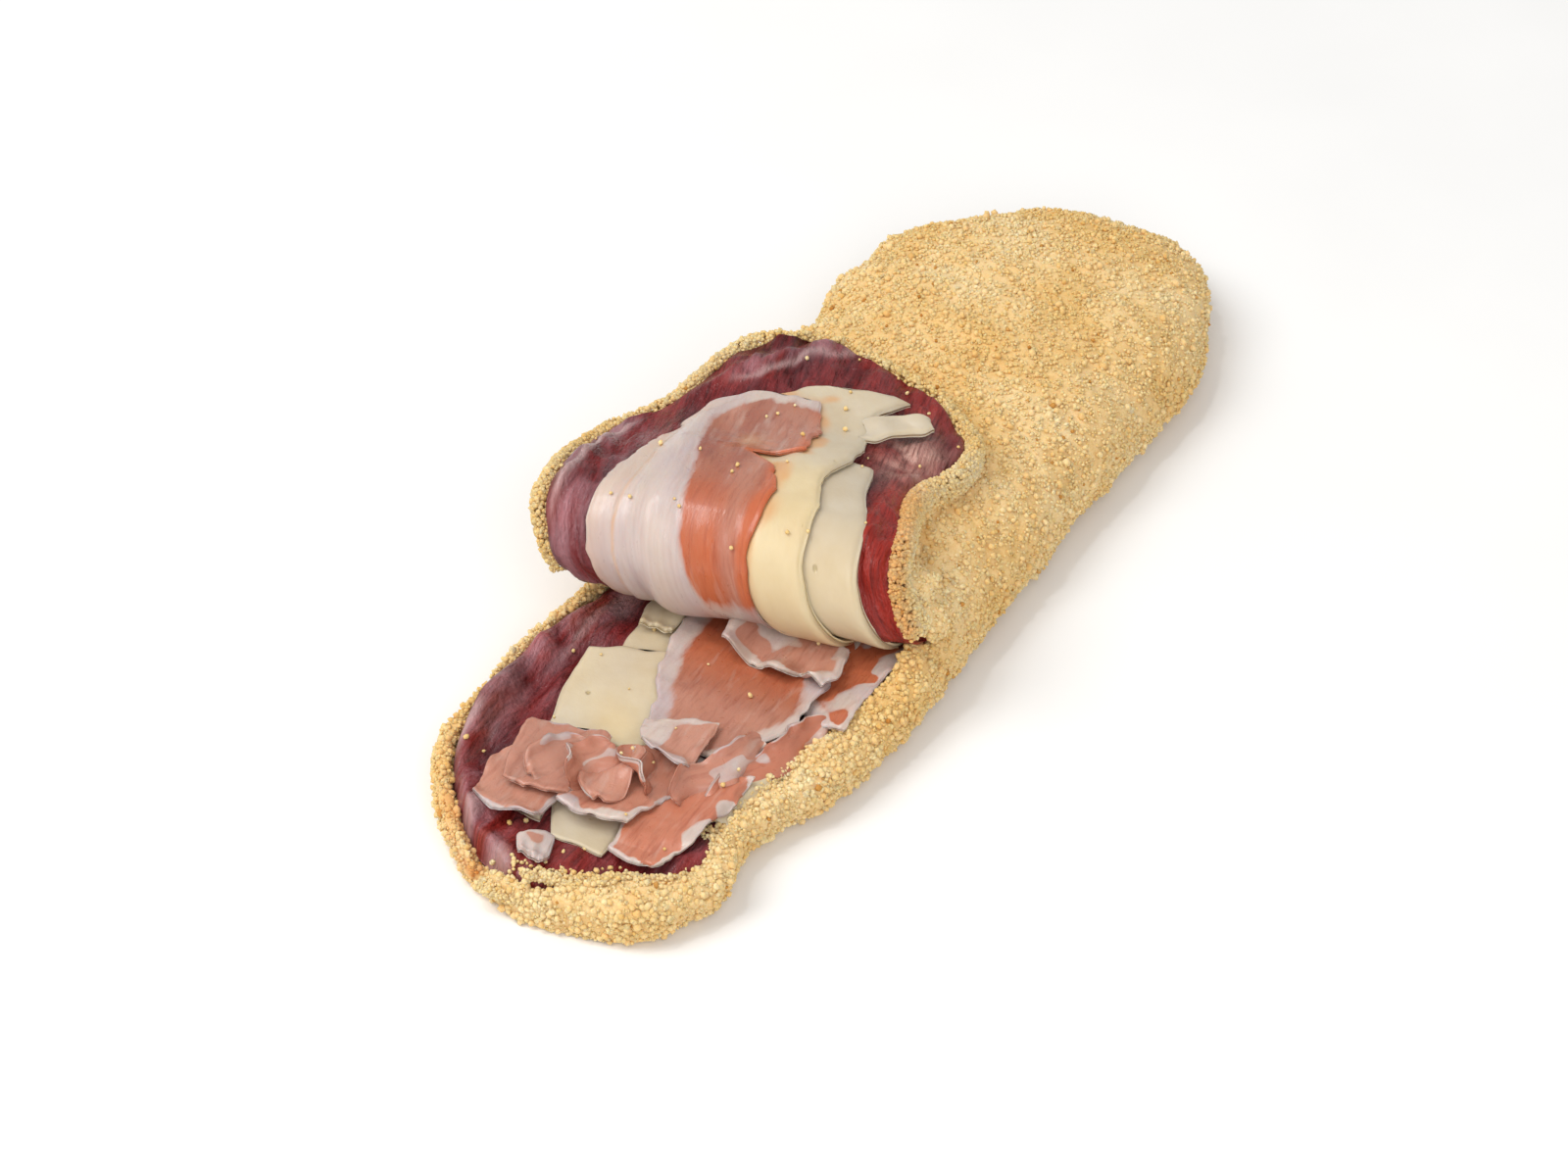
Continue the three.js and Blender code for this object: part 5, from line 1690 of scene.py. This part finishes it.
@dataclass
class Ribbon(Slab):
    """A ruffled ribbon of ham that waves sideways and leans over."""

    start: tuple[float, float]
    stop: tuple[float, float]
    level: float
    width: float
    lean: float
    waves: float
    sway: float
    curl: float
    pale: float
    amber: float
    step: float = 0.3

    def faces(self) -> tuple[Array, Array, dict[str, Array | float]]:
        """Works out the ribbon.

        Returns:
            Grids of its upper and its lower face, and its marks.
        """
        start, run = np.array(self.start), np.array(self.stop) - np.array(self.start)
        length = float(np.linalg.norm(run))
        side = np.array([-run[1], run[0]]) / length
        tilt = math.radians(self.lean * 0.75)
        u, v = np.linspace(0, 1, int(length / self.step) + 4)[:, None], np.linspace(0, 1, 30)[None]
        spot = stacked(u * length, (v - 0.5) * self.width, self.level * 9)
        shift = self.sway * np.sin(2 * math.pi * self.waves * u) + 0.35 * np.sin(14 * u + self.level)
        roll = tilt + self.curl * np.sin(math.pi * (2 * self.waves * u + 0.3)) + 1.1 * (v - 0.5) ** 2
        width = self.width * 1.5 * (1 - 0.92 * np.abs(2 * u - 1) ** 4) ** 0.5
        edge = np.minimum(inset(width, v), inset(length, u))
        frill = 1.3 * BED_NOISE(spot, 3.4) * ease(edge, 4, 0) + 0.4 * BED_NOISE(spot, 5)
        reach = (v - 0.5) * width + 1.2 * BED_NOISE(spot + 50, 3) * (v - 0.5)
        half = HAM / 2 * mix(0.35, 1, rounded(edge + 0.02, 1.2))
        faces = []
        for face in (half, -half):
            offset = face + frill
            out = shift + reach * np.cos(roll) - offset * np.sin(roll)
            up = abs(self.width * math.sin(tilt)) / 2 + reach * np.sin(roll) + offset * np.cos(roll)
            place = (start[k] + run[k] * u + side[k] * out for k in (0, 1))
            faces.append(stacked(*place, LOWER_TOP + GAP + self.level + up))
        border = 0.75 * ease(v, 0.9, 0.98) * ease(BED_NOISE(spot, 5), -0.3, 0.1)
        patches = 0.6 * ease(BED_NOISE(spot + 20, (7, 2.0, 3)), 0.4, 0.6)
        marks = {"fat": np.clip(border + patches, 0, 1), "amber": self.amber, "pale": self.pale, "spot": spot}
        return *faces, marks


class Bed:
    """Everything that lies on the lower fillet."""

    lean_left = Profile((-116, 1), (-107, 3), (-90, 10), (-68, 14), (-50, 16))
    lean_right = Profile((-116, -12), (-107, -18), (-90, -25), (-77, -21), (-66, -9), (-55, -5), (-40, -5))

    def large_ham_fat(self, x: Array, y: Array) -> Array:
        """Fat of the large ham slice: a band on each side."""
        return np.maximum(ease(y - self.lean_left(x), -4.5, 4.5), ease(self.lean_right(x) - y, -3.6, 3.6))

    def build(self, dresser: Dresser) -> list[Piece]:
        """Builds the bed.

        Args:
            dresser: finishes the pieces.

        Returns:
            The pieces.
        """
        ham, cheese = Finish.HAM, Finish.CHEESE
        shapes = [
            BedLayer("lower_cheese", "lower_cheese_layer", cheese,
                     Profile((-95, 27), (-84, 30.5), (-72, 31), (-30, 31), (140, 26)),
                     Profile((-95, 12), (-80, -18), (-60, -26), (-30, -28), (140, -30)), -95,
                     lambda x: 0.0, CHEESE),
            BedLayer("large_ham", "lower_ham_layer", ham,
                     Profile((-116, 7), (-104, 9), (-88, 16), (-68, 19), (140, 16)),
                     Profile((-116, -14), (-108, -21), (-96, -27), (-76, -27), (140, -24)), -116,
                     lambda x: CHEESE + STACK + 2.2 * ease(x, -62, -80), HAM, self.large_ham_fat, 0.5),
            BedSlice("square_cheese", "big_cheese_slice", cheese,
                     ((-121, 3), (-122, 32), (-91, 36.5), (-80, 13)),
                     0, CHEESE, tilt=2.9, wave=0.45, lane=10),
            BedSlice("front_cheese", "front_cheese_slice", cheese,
                     ((-157, -5), (-157, 10), (-142, 18), (-140, -4)),
                     -0.3, 1.1, wave=0.25, warm=0.0, lane=20),
            BedSlice("left_cheese", "left_cheese_slice", cheese,
                     ((-153.5, 15), (-153, 24), (-138, 30), (-139, 19)),
                     0, CHEESE, wave=0.1, warm=0.0, lane=30),
            BedSlice("right_cheese", "right_cheese_slice", cheese,
                     ((-135, -29.5), (-132, -22), (-109, -23), (-111, -30.5)), 0, CHEESE, wave=0.1, lane=40),
            BedSlice("front_ham", "front_ham_slice", ham, ((-157, -22), (-159, -6), (-129, -3), (-114, -30)),
                     2.8, wave=0.6, curl=-1.8, fat=(0.8, 0, 1.8, 1.6), amber=0.42, pale=0.75, lane=50),
            BedSlice("left_ham", "left_ham_slice", ham, ((-158, 14), (-158, 34), (-135, 37), (-133, 13)),
                     2.8, wave=0.6, curl=0.8, fat=(0.8, 0, 1.2, 0), amber=0.1, pale=1.0, lane=60),
            BedSlice("back_ham", "back_ham_slice", ham, ((-148, 10), (-150, 30), (-125, 35), (-120, 10)),
                     5.0, wave=0.6, curl=0.6, fat=(0, 0.8, 0, 0), pale=0.75, lane=70),
            BedSlice("pale_ham", "pale_ham_slice", ham, ((-150, -8), (-151, 14), (-124, 15), (-113, -15)),
                     4.2, wave=0.5, curl=1.5, fat=(2.4, 0, 1.6, 1.8), amber=0.2, pale=1.0, lane=80),
            BedSlice("folded_ham", "folded_ham_slice", ham, ((-127, -12), (-124, 2), (-112, 9), (-103, -12)),
                     7.2, wave=0.6, curl=2.4, fat=(2.2, 1.4, 0, 6.5), pale=0.9, lane=90),
            BedSlice("right_ham", "right_ham_slice", ham, ((-91, -39), (-87, -24), (-48, -20), (-46, -39)),
                     2.8, wave=0.6, fat=(3.5, 0, 6, 0), amber=0.5, pale=0.1, lane=100),
            BedSlice("loose_ham", "loose_ham_edge", ham, ((-80, -29), (-79, 5), (-62, 5), (-60, -28)),
                     6.4, wave=0.5, curl=1.2, fat=(3.4, 0, 4, 13), pale=0.8, frill=2.2, hook=4.0, lane=110),
            BedSlice("cheese_corner", None, cheese, ((-76, 19), (-77, 29), (-64, 32), (-63, 20)),
                     2.3, 1.5, curl=1.2, wave=0.7, warm=0.25, frill=0.7, lane=130),
            BedSlice("ham_fat_scrap", "fat_scrap", Finish.FAT,
                     ((-169, 5), (-168.5, 13), (-162.5, 17), (-157, 7.5)),
                     0.2, 1.8, wave=1.1, curl=0.8, frill=0.6, fat=(4.0, 1.4, 3.0, 3.0), pale=0.8, lane=120),
        ]
        ribbons = (
            ((-146, 22), (-128, 14), 6.4, 10, 14, 0.5, 0.4, 0.22, 0.9, 0.0),
            ((-145, 11), (-127, 9), 7.4, 9, 36, 0.8, 1.0, 0.5, 0.7, 0.15),
            ((-146, 2), (-125, 5), 6.6, 9, -32, 0.8, 1.2, 0.45, 1.0, 0.1),
            ((-137, -7), (-126, 3), 7.6, 8, 45, 0.6, 0.8, 0.5, 0.8, 0.2),
            ((-135, -13), (-104, -24), 5.2, 7, 34, 1.3, 1.0, 0.4, 0.8, 0.15),
            ((-130, -21), (-87, -33), 3.4, 6, 26, 1.4, 0.8, 0.35, 0.5, 0.3),
        )
        for number, sizes in enumerate(ribbons, 1):
            shapes.append(Ribbon(f"ruffle_{number}", f"ham_ruffle_{number}", ham, *sizes))
        return [shape.build(dresser) for shape in shapes]


@dataclass
class LooseCrumbs:
    """Crumbs that thicken the flap's rim and that have spilled over the edge of the meat."""

    rim: GrainKind = GrainKind("rim_crumbs", 106, 8600, (0.9, 1.9), 12)
    spill: GrainKind = GrainKind("spilled_crumbs", 107, 6200, (0.8, 1.7), 12)

    def build(self, dresser: Dresser) -> None:
        """Builds both.

        Args:
            dresser: finishes them.
        """
        rng = np.random.default_rng(61)
        count = self.rim.count
        l = rng.uniform(-20, FLAP_TIP + 1.5, count)
        left, right = UPPER.edges(l)
        on_left = rng.random(count) < 0.5
        side = np.where(on_left, left, right)
        ahead = np.where(on_left, *UPPER.edges(l + 0.5)) - side
        angle = rng.uniform(-1.0, 3.5, count)
        out = (1.9 + 2.5 * np.cos(angle)) * np.hypot(1, np.clip(2 * ahead, -2, 2))
        t = side + np.where(on_left, out, -out)
        centre = UPPER.point(l, t, 4.2 * np.sin(angle) + rng.normal(0, 0.25, count))
        dresser.dress(self.rim.grow(centre, rng.uniform(*self.rim.size, count) / 2, rng), Finish.CRUMBS)
        count = self.spill.count
        x = rng.uniform(-173, -58, count)
        in_front = rng.random(count) < 0.3
        far = rng.exponential(1.5 + 1.1 * ease(x, -112, -92), count)
        out = rng.uniform(0, 3.2, count)
        y = np.where(in_front, rng.uniform(-14, 20, count), OpenedEnd.right(x) + far - out)
        x = np.where(in_front, OpenedEnd.front(y) + 0.8 * far - 0.8 * out, x)
        size = rng.uniform(*self.spill.size, count) / 2
        heap = rng.random(count) * 2.6 * np.exp(-far / 2.2)
        centre = np.stack([x, y, LOWER.top(x, y) + 0.8 * size + heap], 1)
        dresser.dress(self.spill.grow(centre, size, rng), Finish.CRUMBS)


@dataclass
class StrayCrumbs:
    """Single crumbs that stick to the meat, the ham and the cheese."""

    kind: GrainKind = GrainKind("stray_crumbs", 105, 190, (0.8, 1.6), 12, (0.02, 0.1))

    def build(self, pieces: list[Piece], dresser: Dresser) -> None:
        """Scatters them.

        Args:
            pieces: what they stick to.
            dresser: finishes them.
        """
        points, triangles, start = [], [], 0
        for piece in pieces:
            at, _, corners = mesh_arrays(piece.data)
            a, b, c = at[corners].transpose(1, 0, 2)
            up = np.cross(b - a, c - a)
            shown = (up[:, 2] > 0.5 * np.linalg.norm(up, axis=1)) & (a[:, 0] < 40)
            triangles.append(corners[shown] + start)
            points.append(at)
            start += len(at)
        dresser.dress(self.kind.scatter(np.concatenate(points), np.concatenate(triangles)), Finish.CRUMBS)


# Floor, light and camera


@dataclass
class Studio:
    """A plain pale floor, soft light, and the camera at the photograph's angle."""

    eye: tuple[float, float, float] = (-1011.45, -485.00, 905.33)
    ahead: tuple[float, float, float] = (0.69026717, 0.34781604, -0.63447241)
    right: tuple[float, float, float] = (0.46693292, -0.88398315, 0.02339731)
    lens_mm: float = 119.97

    def floor(self) -> None:
        """Lays the floor."""
        size = 4000.0
        points = np.array([[-size, -size, 0], [size, -size, 0], [size, size, 0], [-size, size, 0]])
        sheet = mesh_piece("paper_floor", points - SHIFT, [np.array([[0, 1, 2, 3]])], {"spot": points})
        sheet.data.materials.append(PalePaper().make())

    def lights(self) -> None:
        """Hangs two large soft lamps and a small one for glints, and sets an even sky."""
        for name, place, size, watts in (
            ("window_lamp", (-0.7, 0.8, 1.4), 1.0, 16.0),
            ("front_lamp", (-1.3, -0.9, 1.2), 1.2, 14.0),
            ("glint_lamp", (-0.3, 0.4, 1.7), 0.12, 3.0),
        ):
            lamp = bpy.data.lights.new(name, "AREA")
            lamp.size, lamp.energy = size, watts
            holder = bpy.data.objects.new(name, lamp)
            holder.location = place
            holder.rotation_euler = (-Vector(place)).to_track_quat("-Z", "Y").to_euler()
            bpy.context.scene.collection.objects.link(holder)
        world = bpy.data.worlds.new("even_sky")
        world.use_nodes = True
        world.node_tree.nodes["Background"].inputs[0].default_value = (1.0, 1.0, 1.0, 1)
        world.node_tree.nodes["Background"].inputs[1].default_value = 0.55
        bpy.context.scene.world = world

    def camera(self) -> None:
        """Sets the camera."""
        data = bpy.data.cameras.new("camera")
        data.lens, data.sensor_width, data.clip_end = self.lens_mm, 36, 20
        holder = bpy.data.objects.new("camera", data)
        right, ahead = Vector(self.right), Vector(self.ahead)
        up = right.cross(ahead)
        place = Matrix((right, up, -ahead)).transposed().to_4x4()
        place.translation = Vector((np.array(self.eye) + SHIFT) / 1000)
        holder.matrix_world = place
        bpy.context.scene.collection.objects.link(holder)
        bpy.context.scene.camera = holder

    def build(self) -> None:
        """Builds the studio."""
        self.camera()
        self.floor()
        self.lights()
        bpy.context.scene.view_settings.view_transform = "Standard"
        bpy.context.scene.view_settings.look = "None"


def main() -> None:
    """Builds the steak and its studio."""
    logging.basicConfig(level=logging.INFO, format="%(name)s %(message)s")
    dresser = Dresser()
    Studio().build()
    coat = CrumbCoat()
    shell = coat.shell(dresser)
    coat.grains(shell, dresser)
    fillets = Fillets()
    laid = [fillets.lower(dresser), fillets.upper(dresser)]
    laid += FlapStack().build(dresser) + Bed().build(dresser)
    LooseCrumbs().build(dresser)
    StrayCrumbs().build(laid, dresser)


if __name__ == "__main__":
    main()
